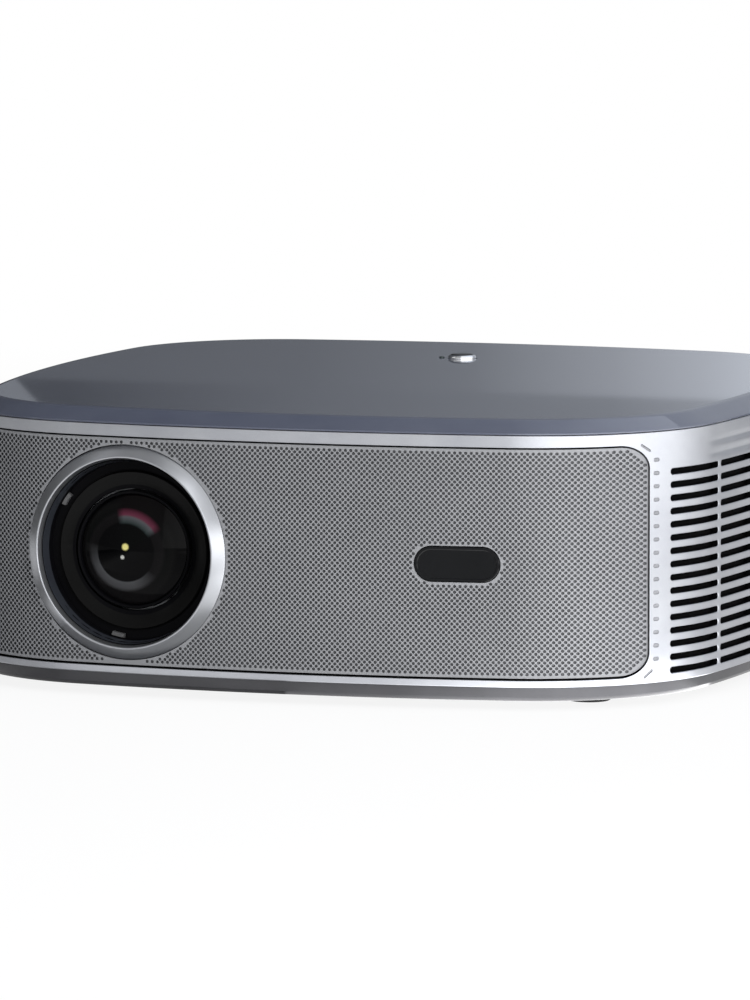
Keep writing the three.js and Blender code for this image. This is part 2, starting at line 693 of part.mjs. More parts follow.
function bottomCase() {
  const rimTop = FRAME_Z - GAP;
  const tray = planBody([
    [BASE_INSET + BASE_CHAMFER, BASE_Z],
    [BASE_INSET, BASE_Z + BASE_CHAMFER],
    [BASE_INSET, rimTop],
    [BASE_INSET + WALL, rimTop],
    [BASE_INSET + WALL, FLOOR_Z],
  ]);
  const sunk = FLOOR_Z - FLOOR_THICKNESS / 2;
  const cradles = [1, -1].map((side) => {
    const x = side * (FAN_X + FAN_THICKNESS / 2);
    return block(CRADLE_WIDTH, CRADLE_LENGTH, FAN_Z - GAP - sunk, x, FAN_Y, sunk);
  });
  const sinkRests = [-1, 1].map((end) => {
    const y = FAN_Y + end * (SINK_LENGTH / 2 - STANDOFF_RADIUS);
    return block(SINK_WIDTH, 2 * STANDOFF_RADIUS, SINK_Z - GAP - sunk, SINK_X, y, sunk);
  });
  const speakerRest = block(SPEAKER_WIDTH / 2, SPEAKER_LENGTH / 2, SPEAKER_Z - GAP - sunk,
    SPEAKER_INNER_X, SPEAKER_INNER_Y + SPEAKER_LENGTH * SPEAKER_REST_SHARE, sunk);
  const engineLegs = [ENGINE_MIN_X + ENGINE_LEG_INSET, ENGINE_MAX_X - ENGINE_LEG_INSET].flatMap((x) =>
    [ENGINE_FRONT + ENGINE_LEG_INSET, ENGINE_BACK - ENGINE_LEG_INSET].map((y) =>
      post(ENGINE_LEG_RADIUS, ENGINE_Z - GAP - sunk, x, y, sunk)));
  const bosses = atFeet((x, y) => post(BOSS_RADIUS, rimTop - BASE_Z, x, y, BASE_Z));
  const body = join(
    tray,
    ...standoffs(MAIN_BOARD_LEFT, MAIN_BOARD_RIGHT, MAIN_BOARD_FRONT, BOARD_BACK),
    ...standoffs(SUPPLY_LEFT, SUPPLY_RIGHT, SUPPLY_FRONT, BOARD_BACK),
    ...cradles,
    ...sinkRests,
    speakerRest,
    ...engineLegs,
    ...bosses,
    post(INSERT_BOSS_RADIUS, INSERT_HEIGHT, 0, -INSERT_Y, BASE_Z, ROUND_STEPS),
  );
  const headTop = BASE_Z + FOOT_POCKET_DEPTH + SCREW_HEAD_HEIGHT + GAP;
  const vents = Array.from({ length: FLOOR_VENTS }, (_, k) =>
    block(FLOOR_VENT_WIDTH, FLOOR_VENT_LENGTH, BASE_HEIGHT + OVERRUN,
      FLOOR_VENT_X + (k - (FLOOR_VENTS - 1) / 2) * FLOOR_VENT_PITCH, FLOOR_VENT_Y, 0));
  return cut(
    body,
    ...atFeet((x, y) => post(FOOT_RADIUS + GAP, BASE_Z + FOOT_POCKET_DEPTH, x, y, 0, ROUND_STEPS)),
    ...atFeet((x, y) => post(SCREW_HEAD_RADIUS + GAP, headTop, x, y, 0)),
    ...atFeet((x, y) => post(SCREW_SHANK_RADIUS + GAP, FRAME_Z + OVERRUN, x, y, 0)),
    post(INSERT_RADIUS + GAP, INSERT_HEIGHT - FLOOR_THICKNESS / 2 + BASE_Z, 0, -INSERT_Y, 0, SMALL_STEPS),
    ...vents,
  );
}

// Middle frame: curved wall with an inner flange, the front opening, slots, dimples and rear opening
function middleFrame() {
  const shell = planWall([
    [0, FRAME_Z],
    [0, EDGE_Z - GAP],
    [WALL, EDGE_Z - GAP],
    [WALL, FLANGE_Z],
    [FLANGE_WIDTH, FLANGE_Z],
    [FLANGE_WIDTH, FRAME_Z],
  ]);
  const posts = atFeet((x, y) => post(POST_RADIUS, POST_HEIGHT, x, y, FRAME_Z));
  const reach = corner.x + (CORNER_RADIUS - FLANGE_WIDTH / 2) * Math.SQRT1_2 - FOOT_X;
  const gussets = atFeet((x, y) =>
    block(reach * Math.SQRT2, GUSSET_WIDTH, FLANGE_THICKNESS)
      .rotateZ(Math.atan2(Math.sign(y), Math.sign(x)))
      .translate(x + Math.sign(x) * reach / 2, y + Math.sign(y) * reach / 2, FRAME_Z));
  const opening = roundedRectangle(-OPENING_HALF_WIDTH, OPENING_HALF_WIDTH,
    OPENING_BOTTOM_Z, OPENING_TOP_Z, OPENING_RADIUS);
  const niche = roundedRectangle(-PANEL_HALF_WIDTH - GAP, PANEL_HALF_WIDTH + GAP,
    PANEL_BOTTOM_Z - GAP, PANEL_BOTTOM_Z + PANEL_HEIGHT + GAP, PANEL_RADIUS + GAP);
  const wall = cut(
    solid(shell),
    frontPrism(opening, -HALF_DEPTH - OVERRUN, -CORNER_RADIUS),
    frontPrism(niche, CORNER_RADIUS, HALF_DEPTH + OVERRUN),
    ...slotCutters(),
    ...dimpleCutters(),
  );
  return cut(
    wall.add(join(...posts, ...gussets)),
    ...atFeet((x, y) => post(SCREW_SHANK_RADIUS + GAP, SCREW_END_Z + GAP, x, y, 0)),
  );
}

// Top cover: flat plateau, bevelled rim and a lip that drops inside the frame
function topCover() {
  const lip = WALL + GAP;
  const shell = planBody([
    [BEVEL_WIDTH, TOP_Z],
    [0, EDGE_Z + COVER_EDGE],
    [0, EDGE_Z],
    [lip, EDGE_Z],
    [lip, EDGE_Z - COVER_LIP_DEPTH],
    [lip + COVER_LIP_THICKNESS, EDGE_Z - COVER_LIP_DEPTH],
    [lip + COVER_LIP_THICKNESS, EDGE_Z],
    [BEVEL_WIDTH, UNDER_TOP_Z],
  ]);
  const sunk = UNDER_TOP_Z + COVER_THICKNESS / 3;
  const posts = [-1, 1].map((end) => {
    const x = BUTTON_BOARD_X + end * (BUTTON_BOARD_LENGTH / 2 - BUTTON_POST_RADIUS);
    const bottom = BUTTON_BOARD_Z + SHEET + GAP;
    return post(BUTTON_POST_RADIUS, sunk - bottom, x, BUTTON_Y, bottom);
  });
  return cut(
    join(shell, ...posts),
    post(BUTTON_RADIUS + GAP, COVER_RISE + OVERRUN, BUTTON_X, BUTTON_Y, UNDER_TOP_Z - GAP, ROUND_STEPS),
    post(LIGHT_RADIUS + GAP, COVER_RISE + OVERRUN, LIGHT_X, BUTTON_Y, UNDER_TOP_Z - GAP),
  );
}

// A cylinder along the lens bezel's own axis, which is square to the curved front
function bezelBore(radius, reach) {
  return rod(radius, -reach, reach, 0, 0, FINE_STEPS).rotateZ(LENS_TILT).translate(LENS_X, LENS_Y, LENS_Z);
}

function windowPrism(margin, y1) {
  const shape = pill(WINDOW_WIDTH + 2 * margin, WINDOW_HEIGHT + 2 * margin, WINDOW_X, LENS_Z);
  return frontPrism(shape, -HALF_DEPTH - OVERRUN, y1, 2 * FILLET_STEPS);
}

function frontGrille() {
  const panel = roundedRectangle(-OPENING_HALF_WIDTH + GRILLE_GAP, OPENING_HALF_WIDTH - GRILLE_GAP,
    OPENING_BOTTOM_Z + GRILLE_GAP, OPENING_TOP_Z - GRILLE_GAP, OPENING_RADIUS - GRILLE_GAP);
  const sheet = solid(plainWall(GRILLE_RECESS, GRILLE_BACK, FRAME_Z, EDGE_Z))
    .intersect(solid(frontPrism(panel, -HALF_DEPTH - OVERRUN, -CORNER_RADIUS)));
  return cut(sheet, bezelBore(BEZEL_RADIUS + GAP, BEZEL_RADIUS), windowPrism(GAP, -CORNER_RADIUS));
}

function sensorWindow() {
  return solid(plainWall(WINDOW_RECESS, GRILLE_BACK, FRAME_Z, EDGE_Z))
    .intersect(solid(windowPrism(0, -CORNER_RADIUS)));
}

// Carrier behind the grille, with holes for the lens hood, the camera and the two speakers
function frontCarrier() {
  const endY = sidePoint(SLOT_START + SLOT_RIB).point.y - 2 * GAP;
  const band = between(-WIDTH, WIDTH, -HALF_DEPTH - OVERRUN, endY, 0, TOP_Z);
  const plate = solid(plainWall(CARRIER_FRONT, CARRIER_BACK, CARRIER_Z, CARRIER_TOP_Z))
    .intersect(solid(band));
  const speakerWindow = (x) => frontPrism(
    roundedRectangle(x - SPEAKER_WIDTH / 2, x + SPEAKER_WIDTH / 2,
      LENS_Z - SPEAKER_HEIGHT / 2, LENS_Z + SPEAKER_HEIGHT / 2, CARRIER_WINDOW_RADIUS),
    -HALF_DEPTH - OVERRUN, -CORNER_RADIUS);
  return cut(
    plate,
    bezelBore(BEZEL_BORE, BEZEL_RADIUS),
    frontPrism(pill(CAMERA_WIDTH, CAMERA_HEIGHT, WINDOW_X, LENS_Z),
      -HALF_DEPTH - OVERRUN, -CORNER_RADIUS),
    speakerWindow(SPEAKER_INNER_X),
    speakerWindow(SPEAKER_OUTER_X),
  );
}

// Perforated screen behind the vent slots of one side
function ventScreen(side) {
  const { point: front } = sidePoint(SLOT_START + SLOT_RIB);
  const { point: back } = sidePoint(SLOT_START - SLOT_COLUMNS * (SLOT_LENGTH + SLOT_RIB));
  const outer = WALL + GAP;
  const region = between(CORNER_RADIUS, WIDTH, front.y, back.y, 0, TOP_Z);
  return solid(plainWall(outer, outer + SCREEN_THICKNESS, CARRIER_Z, CARRIER_TOP_Z))
    .intersect(solid(side > 0 ? region : region.rotateY(Math.PI).translate(0, 0, TOP_Z)));
}

function addShell() {
  addMesh(projector, 'bottom_case', bottomCase(), basePlastic);
  addMesh(projector, 'mid_frame', middleFrame(), silverPaint);
  addMesh(projector, 'top_cover', topCover(), coverPaint);
  addMesh(projector, 'front_grille', frontGrille(), grilleGrey);
  addMesh(projector, 'front_carrier', frontCarrier(), blackPlastic);
  addMesh(projector, 'sensor_window', sensorWindow(), glossBlack);
  addMesh(projector, 'vent_screen_left', ventScreen(-1), blackPlastic);
  addMesh(projector, 'vent_screen_right', ventScreen(1), blackPlastic);
}

function addFeetAndScrews() {
  const places = { front_left: [-1, -1], front_right: [1, -1], rear_left: [-1, 1], rear_right: [1, 1] };
  const footTop = BASE_Z + FOOT_POCKET_DEPTH - GAP;
  const headZ = BASE_Z + FOOT_POCKET_DEPTH;
  Object.entries(places).forEach(([place, [sx, sy]]) => {
    const group = addGroup(projector, sx * FOOT_X, sy * FOOT_Y, 0);
    addMesh(group, `foot_${place}`, post(FOOT_RADIUS, footTop, 0, 0, 0, ROUND_STEPS), rubber);
    addMesh(group, `case_screw_${place}`, join(
      post(SCREW_HEAD_RADIUS, SCREW_HEAD_HEIGHT, 0, 0, headZ),
      post(SCREW_SHANK_RADIUS, SCREW_LENGTH, 0, 0, headZ),
    ), steel);
  });
  const insertTop = INSERT_HEIGHT - FLOOR_THICKNESS / 2 - GAP;
  const insert = cut(
    solid(post(INSERT_RADIUS, insertTop, 0, 0, 0)),
    post(INSERT_BORE, insertTop - FLOOR_THICKNESS / 2, 0, 0, 0),
  );
  addMesh(addGroup(projector, 0, -INSERT_Y, BASE_Z), 'tripod_insert', insert, brass);
}

// Lens group. Its own origin is where the lens axis meets the front surface, and y goes inwards
function lensHood() {
  const ring = (radius, depth, tilt) => Array.from({ length: FINE_STEPS }, (_, k) => {
    const angle = (2 * Math.PI * k) / FINE_STEPS;
    return new THREE.Vector3(Math.cos(angle) * radius, depth, Math.sin(angle) * radius)
      .applyAxisAngle(new THREE.Vector3(0, 0, 1), tilt);
  });
  const outer = BEZEL_BORE - GAP;
  const neck = BARREL_RADIUS + GAP + GAP;
  return skin([
    ring(outer, -HOOD_RIM, LENS_TILT),
    ring(outer - HOOD_WALL, -HOOD_RIM, LENS_TILT),
    ring(HOOD_STEP_ONE, HOOD_STEP_ONE_DEPTH, 0),
    ring(HOOD_STEP_ONE - HOOD_STEP_LEDGE, HOOD_STEP_ONE_DEPTH, 0),
    ring(neck, HOOD_BACK_DEPTH - HOOD_WALL, 0),
    ring(neck, HOOD_BACK_DEPTH, 0),
    ring(neck + 2 * HOOD_WALL, HOOD_BACK_DEPTH, 0),
    ring(HOOD_NECK_RADIUS, HOOD_NECK_DEPTH, 0),
    ring(outer, HOOD_SEAT_DEPTH, LENS_TILT),
  ], true);
}

function gearOutline(teeth, phase) {
  const pitchRadius = (teeth * GEAR_MODULE) / 2;
  const rootRadius = pitchRadius - TOOTH_ROOT * GEAR_MODULE;
  const tipRadius = pitchRadius + TOOTH_TIP * GEAR_MODULE;
  const toothPitch = (2 * Math.PI) / teeth;
  const toothShares = [[-0.2, rootRadius], [-0.09, tipRadius], [0.09, tipRadius], [0.2, rootRadius]];
  const points = [];
  for (let tooth = 0; tooth < teeth; tooth += 1) {
    toothShares.forEach(([share, radius]) => {
      const angle = (tooth + phase + share) * toothPitch;
      points.push(new THREE.Vector2(Math.cos(angle) * radius, Math.sin(angle) * radius));
    });
  }
  return new THREE.Shape(points);
}

function gear(teeth, phase, bore, y0, y1) {
  const shape = gearOutline(teeth, phase);
  const hole = new THREE.Path();
  hole.absarc(0, 0, bore, 0, 2 * Math.PI);
  shape.holes.push(hole);
  return frontPrism(shape, y0, y1, ROUND_STEPS);
}

function addLens() {
  const lens = addGroup(projector, LENS_X, LENS_Y, LENS_Z);
  const bezel = turned([
    [BEZEL_RADIUS, BEZEL_BACK],
    [BEZEL_RADIUS, 0],
    [BEZEL_BORE + BEZEL_LIP, -BEZEL_RISE],
    [BEZEL_BORE, -BEZEL_RISE + BEZEL_LIP / 2],
    [BEZEL_BORE, BEZEL_BACK],
  ], FINE_STEPS);
  addMesh(lens, 'lens_bezel', bezel, silverPaint).rotation.z = LENS_TILT;
  addMesh(lens, 'lens_hood', lensHood(), blackPlastic);

  const barrelBore = BARREL_RADIUS - BARREL_WALL;
  const barrelBack = BARREL_FRONT + BARREL_LENGTH;
  const seatY = BARREL_FRONT + BARREL_SEAT;
  addMesh(lens, 'lens_barrel', turned([
    [BARREL_RADIUS, BARREL_FRONT],
    [BARREL_RADIUS, barrelBack],
    [barrelBore, barrelBack],
    [barrelBore, seatY + BARREL_STOP_WIDTH],
    [barrelBore - BARREL_STOP_WIDTH, seatY + BARREL_STOP_WIDTH],
    [barrelBore - BARREL_STOP_WIDTH, seatY],
    [barrelBore, seatY],
    [barrelBore, BARREL_FRONT],
  ], ROUND_STEPS), blackPlastic);

  const glassRadius = barrelBore - GAP;
  const glassBack = seatY - GAP;
  const glassEdge = glassBack - FRONT_GLASS_EDGE;
  addMesh(lens, 'front_lens', turned([
    [0, glassBack],
    [glassRadius, glassBack],
    ...domePoints(glassRadius, glassEdge, glassEdge - FRONT_GLASS_CROWN, FILLET_STEPS),
  ]), glass);

  const tubeBore = BARREL_RADIUS + GAP;
  const tubeOuter = tubeBore + TUBE_WALL;
  const stopBack = TUBE_STOP + TUBE_STOP_THICKNESS;
  addMesh(lens, 'lens_tube', turned([
    [tubeBore, TUBE_FRONT],
    [tubeOuter, TUBE_FRONT],
    [tubeOuter, TUBE_SHOULDER],
    [TUBE_SHOULDER_RADIUS, TUBE_SHOULDER],
    [TUBE_SHOULDER_RADIUS, TUBE_BACK],
    [tubeBore, TUBE_BACK],
    [tubeBore, stopBack],
    [TUBE_STOP_BORE, stopBack],
    [TUBE_STOP_BORE, TUBE_STOP],
    [tubeBore, TUBE_STOP],
  ], ROUND_STEPS), castMetal);

  const rearFront = stopBack + GAP;
  addMesh(lens, 'rear_lens', turned([
    ...domePoints(tubeBore - GAP, rearFront + REAR_GLASS_THICKNESS,
      rearFront + REAR_GLASS_THICKNESS + REAR_GLASS_CROWN, FILLET_STEPS).reverse(),
    [tubeBore - GAP, rearFront],
    [0, rearFront],
  ], ROUND_STEPS), glass);

  const gearBack = TUBE_SHOULDER - GAP;
  const gearFront = gearBack - GEAR_WIDTH;
  addMesh(lens, 'focus_ring', gear(RING_TEETH, RING_PHASE_SHARE, tubeOuter + GAP, gearFront, gearBack),
    blackPlastic);

  const pinionX = ((RING_TEETH + PINION_TEETH) * GEAR_MODULE) / 2;
  const drive = addGroup(lens, pinionX, 0, 0);
  addMesh(drive, 'focus_pinion', gear(PINION_TEETH, 0, PINION_BORE, gearFront, gearBack), brass);
  addMesh(drive, 'focus_motor', join(
    rod(MOTOR_RADIUS, MOTOR_FRONT, TUBE_BACK),
    rod(MOTOR_SHAFT_RADIUS, gearFront - GAP, TUBE_BACK - GAP, 0, 0, SMALL_STEPS),
  ), steel);
}

// Optical engine with its lid, prism, imaging chip and light source
function engineHousing() {
  const inner = [ENGINE_MIN_X + ENGINE_WALL, ENGINE_MAX_X - ENGINE_WALL,
    ENGINE_FRONT + ENGINE_WALL, ENGINE_BACK - ENGINE_WALL];
  const topZ = LENS_Z + ENGINE_HALF_HEIGHT;
  const pedestalTop = LENS_Z - PRISM_SIZE / 2 - GAP;
  const chipHole = CHIP_SIZE + 2 * GAP;
  const dieHole = LED_DIE_SIZE + 2 * GAP;
  const shell = cut(
    solid(between(ENGINE_MIN_X, ENGINE_MAX_X, ENGINE_FRONT, ENGINE_BACK, ENGINE_Z, topZ)),
    between(...inner, ENGINE_Z + ENGINE_WALL, topZ + OVERRUN),
    rod(LIGHT_BORE, ENGINE_FRONT - OVERRUN, ENGINE_FRONT + ENGINE_WALL + OVERRUN, LENS_X, LENS_Z),
    block(chipHole, 2 * OVERRUN, chipHole, LENS_X, ENGINE_BACK, LENS_Z - chipHole / 2),
    block(2 * OVERRUN, dieHole, dieHole, ENGINE_MAX_X, LED_Y, LENS_Z - dieHole / 2),
  );
  const pedestal = block(PRISM_SIZE, PRISM_SIZE, pedestalTop - ENGINE_Z, LENS_X, PRISM_Y, ENGINE_Z);
  return shell.add(solid(pedestal));
}

function addEngine() {
  const topZ = LENS_Z + ENGINE_HALF_HEIGHT;
  addMesh(projector, 'optical_engine', engineHousing(), castMetal);
  addMesh(projector, 'engine_lid',
    between(ENGINE_MIN_X, ENGINE_MAX_X, ENGINE_FRONT, ENGINE_BACK, topZ + GAP, topZ + GAP + ENGINE_LID),
    castMetal);
  addMesh(projector, 'prism',
    block(PRISM_SIZE, PRISM_SIZE, PRISM_SIZE, LENS_X, PRISM_Y, LENS_Z - PRISM_SIZE / 2), glass);

  const boardY = ENGINE_BACK + GAP + SHEET / 2;
  const chip = block(CHIP_SIZE, ENGINE_WALL + SHEET, CHIP_SIZE, LENS_X,
    boardY - ENGINE_WALL / 2, LENS_Z - CHIP_SIZE / 2);
  const board = block(CHIP_BOARD_WIDTH, SHEET, CHIP_BOARD_HEIGHT, LENS_X, boardY,
    LENS_Z - CHIP_BOARD_HEIGHT / 2);
  addMesh(projector, 'imaging_chip_board', join(board, chip), boardGreen);

  const sinkY = boardY + SHEET / 2 + GAP;
  const sink = combSink(CHIP_SINK_SIZE, CHIP_SINK_SIZE, CHIP_SINK_DEPTH, CHIP_SINK_FINS);
  addMesh(projector, 'imaging_chip_heat_sink', sink.rotateX(-Math.PI / 2)
    .translate(LENS_X, sinkY, LENS_Z), aluminium);

  const dieReach = ENGINE_WALL + LED_BASE_THICKNESS / 2;
  const led = addGroup(projector, ENGINE_MAX_X + GAP, LED_Y, LENS_Z);
  addMesh(led, 'led_module', join(
    between(0, LED_BASE_THICKNESS, -LED_BOARD_SIZE / 2, LED_BOARD_SIZE / 2,
      -LED_BOARD_SIZE / 2, LED_BOARD_SIZE / 2),
    between(-ENGINE_WALL, dieReach - ENGINE_WALL, -LED_DIE_SIZE / 2, LED_DIE_SIZE / 2,
      -LED_DIE_SIZE / 2, LED_DIE_SIZE / 2),
  ), copper);
}

// A heat sink: flat base in X and Y on z = 0, with fins along X standing up to the height
function combSink(width, length, height, fins) {
  const pitch = (length - FIN_THICKNESS) / (fins - 1);
  const half = length / 2;
  const comb = new THREE.Shape();
  comb.moveTo(-half, 0);
  comb.lineTo(half, 0);
  for (let fin = fins - 1; fin >= 0; fin -= 1) {
    const left = -half + fin * pitch;
    comb.lineTo(left + FIN_THICKNESS, height);
    comb.lineTo(left, height);
    if (fin > 0) {
      comb.lineTo(left, SINK_BASE);
      comb.lineTo(left - pitch + FIN_THICKNESS, SINK_BASE);
    }
  }
  comb.closePath();
  return new THREE.ExtrudeGeometry(comb, { depth: width, bevelEnabled: false })
    .translate(0, 0, -width / 2)
    .rotateX(Math.PI / 2)
    .rotateZ(Math.PI / 2);
}

// A heat pipe: down the light source's back, round a bend, then along the floor under the heat sink
function heatPipe() {
  const downX = ENGINE_MAX_X + GAP + LED_BASE_THICKNESS + GAP + PIPE_RADIUS;
  const path = new THREE.CurvePath();
  const top = new THREE.Vector3(downX, 0, LENS_Z + LED_BOARD_SIZE / 2);
  const bendTop = new THREE.Vector3(downX, 0, PIPE_Z + PIPE_BEND);
  const bendEnd = new THREE.Vector3(downX + PIPE_BEND, 0, PIPE_Z);
  const end = new THREE.Vector3(SINK_X + SINK_WIDTH / 2 - PIPE_END_GAP, 0, PIPE_Z);
  const elbow = new THREE.Vector3(downX, 0, PIPE_Z);
  path.add(new THREE.LineCurve3(top, bendTop));
  path.add(new THREE.QuadraticBezierCurve3(bendTop, elbow, bendEnd));
  path.add(new THREE.LineCurve3(bendEnd, end));
  const points = [top, ...path.curves[1].getPoints(2 * FILLET_STEPS), end];
  const section = (point, direction) => {
    const across = new THREE.Vector3(0, 1, 0);
    const normal = direction.clone().cross(across).normalize();
    return Array.from({ length: SMALL_STEPS }, (_, k) => {
      const angle = (2 * Math.PI * k) / SMALL_STEPS;
      return point.clone()
        .addScaledVector(across, Math.cos(angle) * PIPE_RADIUS)
        .addScaledVector(normal, Math.sin(angle) * PIPE_RADIUS);
    });
  };
  return skin(points.map((point, k) => {
    const before = points[Math.max(k - 1, 0)];
    const after = points[Math.min(k + 1, points.length - 1)];
    return section(point, after.clone().sub(before));
  }));
}

function addCooling() {
  addMesh(projector, 'heat_sink',
    combSink(SINK_WIDTH, SINK_LENGTH, SINK_HEIGHT, SINK_FINS).translate(SINK_X, FAN_Y, SINK_Z), aluminium);
  [-1, 1].forEach((side, k) => {
    const pipe = addGroup(projector, 0, LED_Y + (side * PIPE_SPACING) / 2, 0);
    addMesh(pipe, `heat_pipe_${k + 1}`, heatPipe(), copper);
  });
  addFan('exhaust_fan', 1);
  addFan('intake_fan', -1);
}

// A fan in its own frame: axis along y, from y = 0 on the inner face to its thickness
function fanFrame() {
  const half = FAN_SIZE / 2;
  const discFront = FAN_THICKNESS - FAN_HUB_DISC;
  const cupBack = FAN_ROTOR_FRONT + FAN_CUP_FACE;
  const struts = Array.from({ length: FAN_STRUTS }, (_, k) =>
    between(FAN_HUB / 2, half - FAN_STRUT_WIDTH / 2, discFront, FAN_THICKNESS,
      -FAN_STRUT_WIDTH / 2, FAN_STRUT_WIDTH / 2)
      .rotateY((k + 0.5) * ((2 * Math.PI) / FAN_STRUTS)));
  return cut(
    solid(between(-half, half, 0, FAN_THICKNESS, -half, half)),
    rod(FAN_BORE, -OVERRUN, FAN_THICKNESS + OVERRUN, 0, 0, FINE_STEPS / 2),
  ).add(join(
    rod(FAN_HUB, discFront, FAN_THICKNESS),
    rod(FAN_BOSS, cupBack + GAP, FAN_THICKNESS - GAP, 0, 0, SMALL_STEPS),
    ...struts,
  ));
}

function fanRotor() {
  const middle = (FAN_ROTOR_FRONT + FAN_ROTOR_BACK) / 2;
  const blades = Array.from({ length: FAN_BLADES }, (_, k) =>
    between(FAN_HUB - FAN_BOSS / 2, FAN_BLADE_TIP, -FAN_BLADE_CHORD / 2, FAN_BLADE_CHORD / 2,
      -FAN_BLADE_THICKNESS / 2, FAN_BLADE_THICKNESS / 2)
      .rotateX(THREE.MathUtils.degToRad(90 - FAN_BLADE_ANGLE))
      .rotateY((2 * Math.PI * k) / FAN_BLADES)
      .translate(0, middle, 0));
  return cut(
    join(rod(FAN_HUB, FAN_ROTOR_FRONT, FAN_ROTOR_BACK), ...blades),
    rod(FAN_BOSS + GAP, FAN_ROTOR_FRONT + FAN_CUP_FACE, FAN_THICKNESS, 0, 0, SMALL_STEPS),
  );
}

function addFan(name, side) {
  const fan = addGroup(projector, side * FAN_X, FAN_Y, FAN_Z + FAN_SIZE / 2);
  fan.rotation.z = (-side * Math.PI) / 2;
  addMesh(fan, `${name}_frame`, fanFrame(), blackPlastic);
  addMesh(fan, `${name}_rotor`, fanRotor(), blackPlastic);
}

// A board with its larger components
function componentBoard(left, right, front, back, parts) {
  const width = right - left;
  const depth = back - front;
  const board = between(left, right, front, back, BOARD_Z, BOARD_Z + SHEET);
  const pieces = parts.map(([x, y, w, d, height]) =>
    block(width * w, depth * d, SHEET / 2 + height, left + width * x, front + depth * y,
      BOARD_Z + SHEET / 2));
  return join(board, ...pieces);
}

// Sockets and inlet: the mouth is at y = 0, the foot on z = 0, and they reach back to -y
const [videoX1, videoX2, dataX1, dataX2, jackX] = Array.from({ length: SOCKETS }, (_, place) =>
  SOCKET_FIRST_X + place * SOCKET_SPACING);

function boxSocket(width, height) {
  const inside = [width - 2 * SOCKET_WALL, height - 2 * SOCKET_WALL];
  const tongue = block(inside[0] * (1 - TONGUE_SHARE), SOCKET_DEPTH - SOCKET_WALL,
    inside[1] * TONGUE_SHARE, 0, -SOCKET_DEPTH / 2, height / 2 - (inside[1] * TONGUE_SHARE) / 2);
  return cut(
    solid(between(-width / 2, width / 2, -SOCKET_DEPTH, 0, 0, height)),
    between(-inside[0] / 2, inside[0] / 2, SOCKET_WALL - SOCKET_DEPTH, OVERRUN,
      SOCKET_WALL, height - SOCKET_WALL),
  ).add(solid(tongue));
}

function audioJack() {
  const middle = JACK_HEIGHT / 2;
  return cut(
    solid(between(-JACK_WIDTH / 2, JACK_WIDTH / 2, -SOCKET_DEPTH, 0, 0, JACK_HEIGHT)),
    rod(JACK_BORE, SOCKET_WALL - SOCKET_DEPTH, OVERRUN, 0, middle, SMALL_STEPS),
  );
}

function powerInlet() {
  const [halfWidth, wall] = [INLET_WIDTH / 2, 2 * SOCKET_WALL];
  const recess = pill(INLET_WIDTH - 2 * wall, INLET_HEIGHT - 2 * wall, 0, INLET_HEIGHT / 2);
  const pins = [-1, 1].map((end) => rod(PIN_RADIUS, wall / 2 - INLET_DEPTH, -wall,
    (end * PIN_SPACING) / 2, INLET_HEIGHT / 2, SMALL_STEPS));
  return cut(
    solid(between(-halfWidth, halfWidth, -INLET_DEPTH, 0, 0, INLET_HEIGHT)),
    frontPrism(recess, wall - INLET_DEPTH, OVERRUN, 2 * FILLET_STEPS),
  ).add(join(...pins));
}

// Rear panel: a recessed plate with side walls that reach the curved rear surface
function rearPanel() {
  const top = PANEL_BOTTOM_Z + PANEL_HEIGHT;
  const outside = roundedRectangle(-PANEL_HALF_WIDTH, PANEL_HALF_WIDTH, PANEL_BOTTOM_Z, top, PANEL_RADIUS);
  const niche = roundedRectangle(PANEL_WALL - PANEL_HALF_WIDTH, PANEL_HALF_WIDTH - PANEL_WALL,
    PANEL_BOTTOM_Z + PANEL_WALL / 2, top - PANEL_WALL, PANEL_RADIUS / 2);
  const envelope = planBody([[GAP, 0], [GAP, TOP_Z]]);
  const hole = (x, width, height, z) =>
    block(width + 2 * GAP, 4 * PANEL_WALL, height + 2 * GAP, x, PANEL_PLATE_Y, z - GAP);
  return cut(
    solid(frontPrism(outside, PANEL_PLATE_Y, HALF_DEPTH + OVERRUN)).intersect(solid(envelope)),
    frontPrism(niche, PANEL_PLATE_Y + PANEL_WALL, HALF_DEPTH + OVERRUN),
    hole(videoX1, VIDEO_WIDTH, VIDEO_HEIGHT, SOCKET_Z),
    hole(videoX2, VIDEO_WIDTH, VIDEO_HEIGHT, SOCKET_Z),
    hole(dataX1, DATA_WIDTH, DATA_HEIGHT, SOCKET_Z),
    hole(dataX2, DATA_WIDTH, DATA_HEIGHT, SOCKET_Z),
    hole(jackX, JACK_WIDTH, JACK_HEIGHT, SOCKET_Z),
    hole(INLET_X, INLET_WIDTH, INLET_HEIGHT, SOCKET_Z),
  );
}

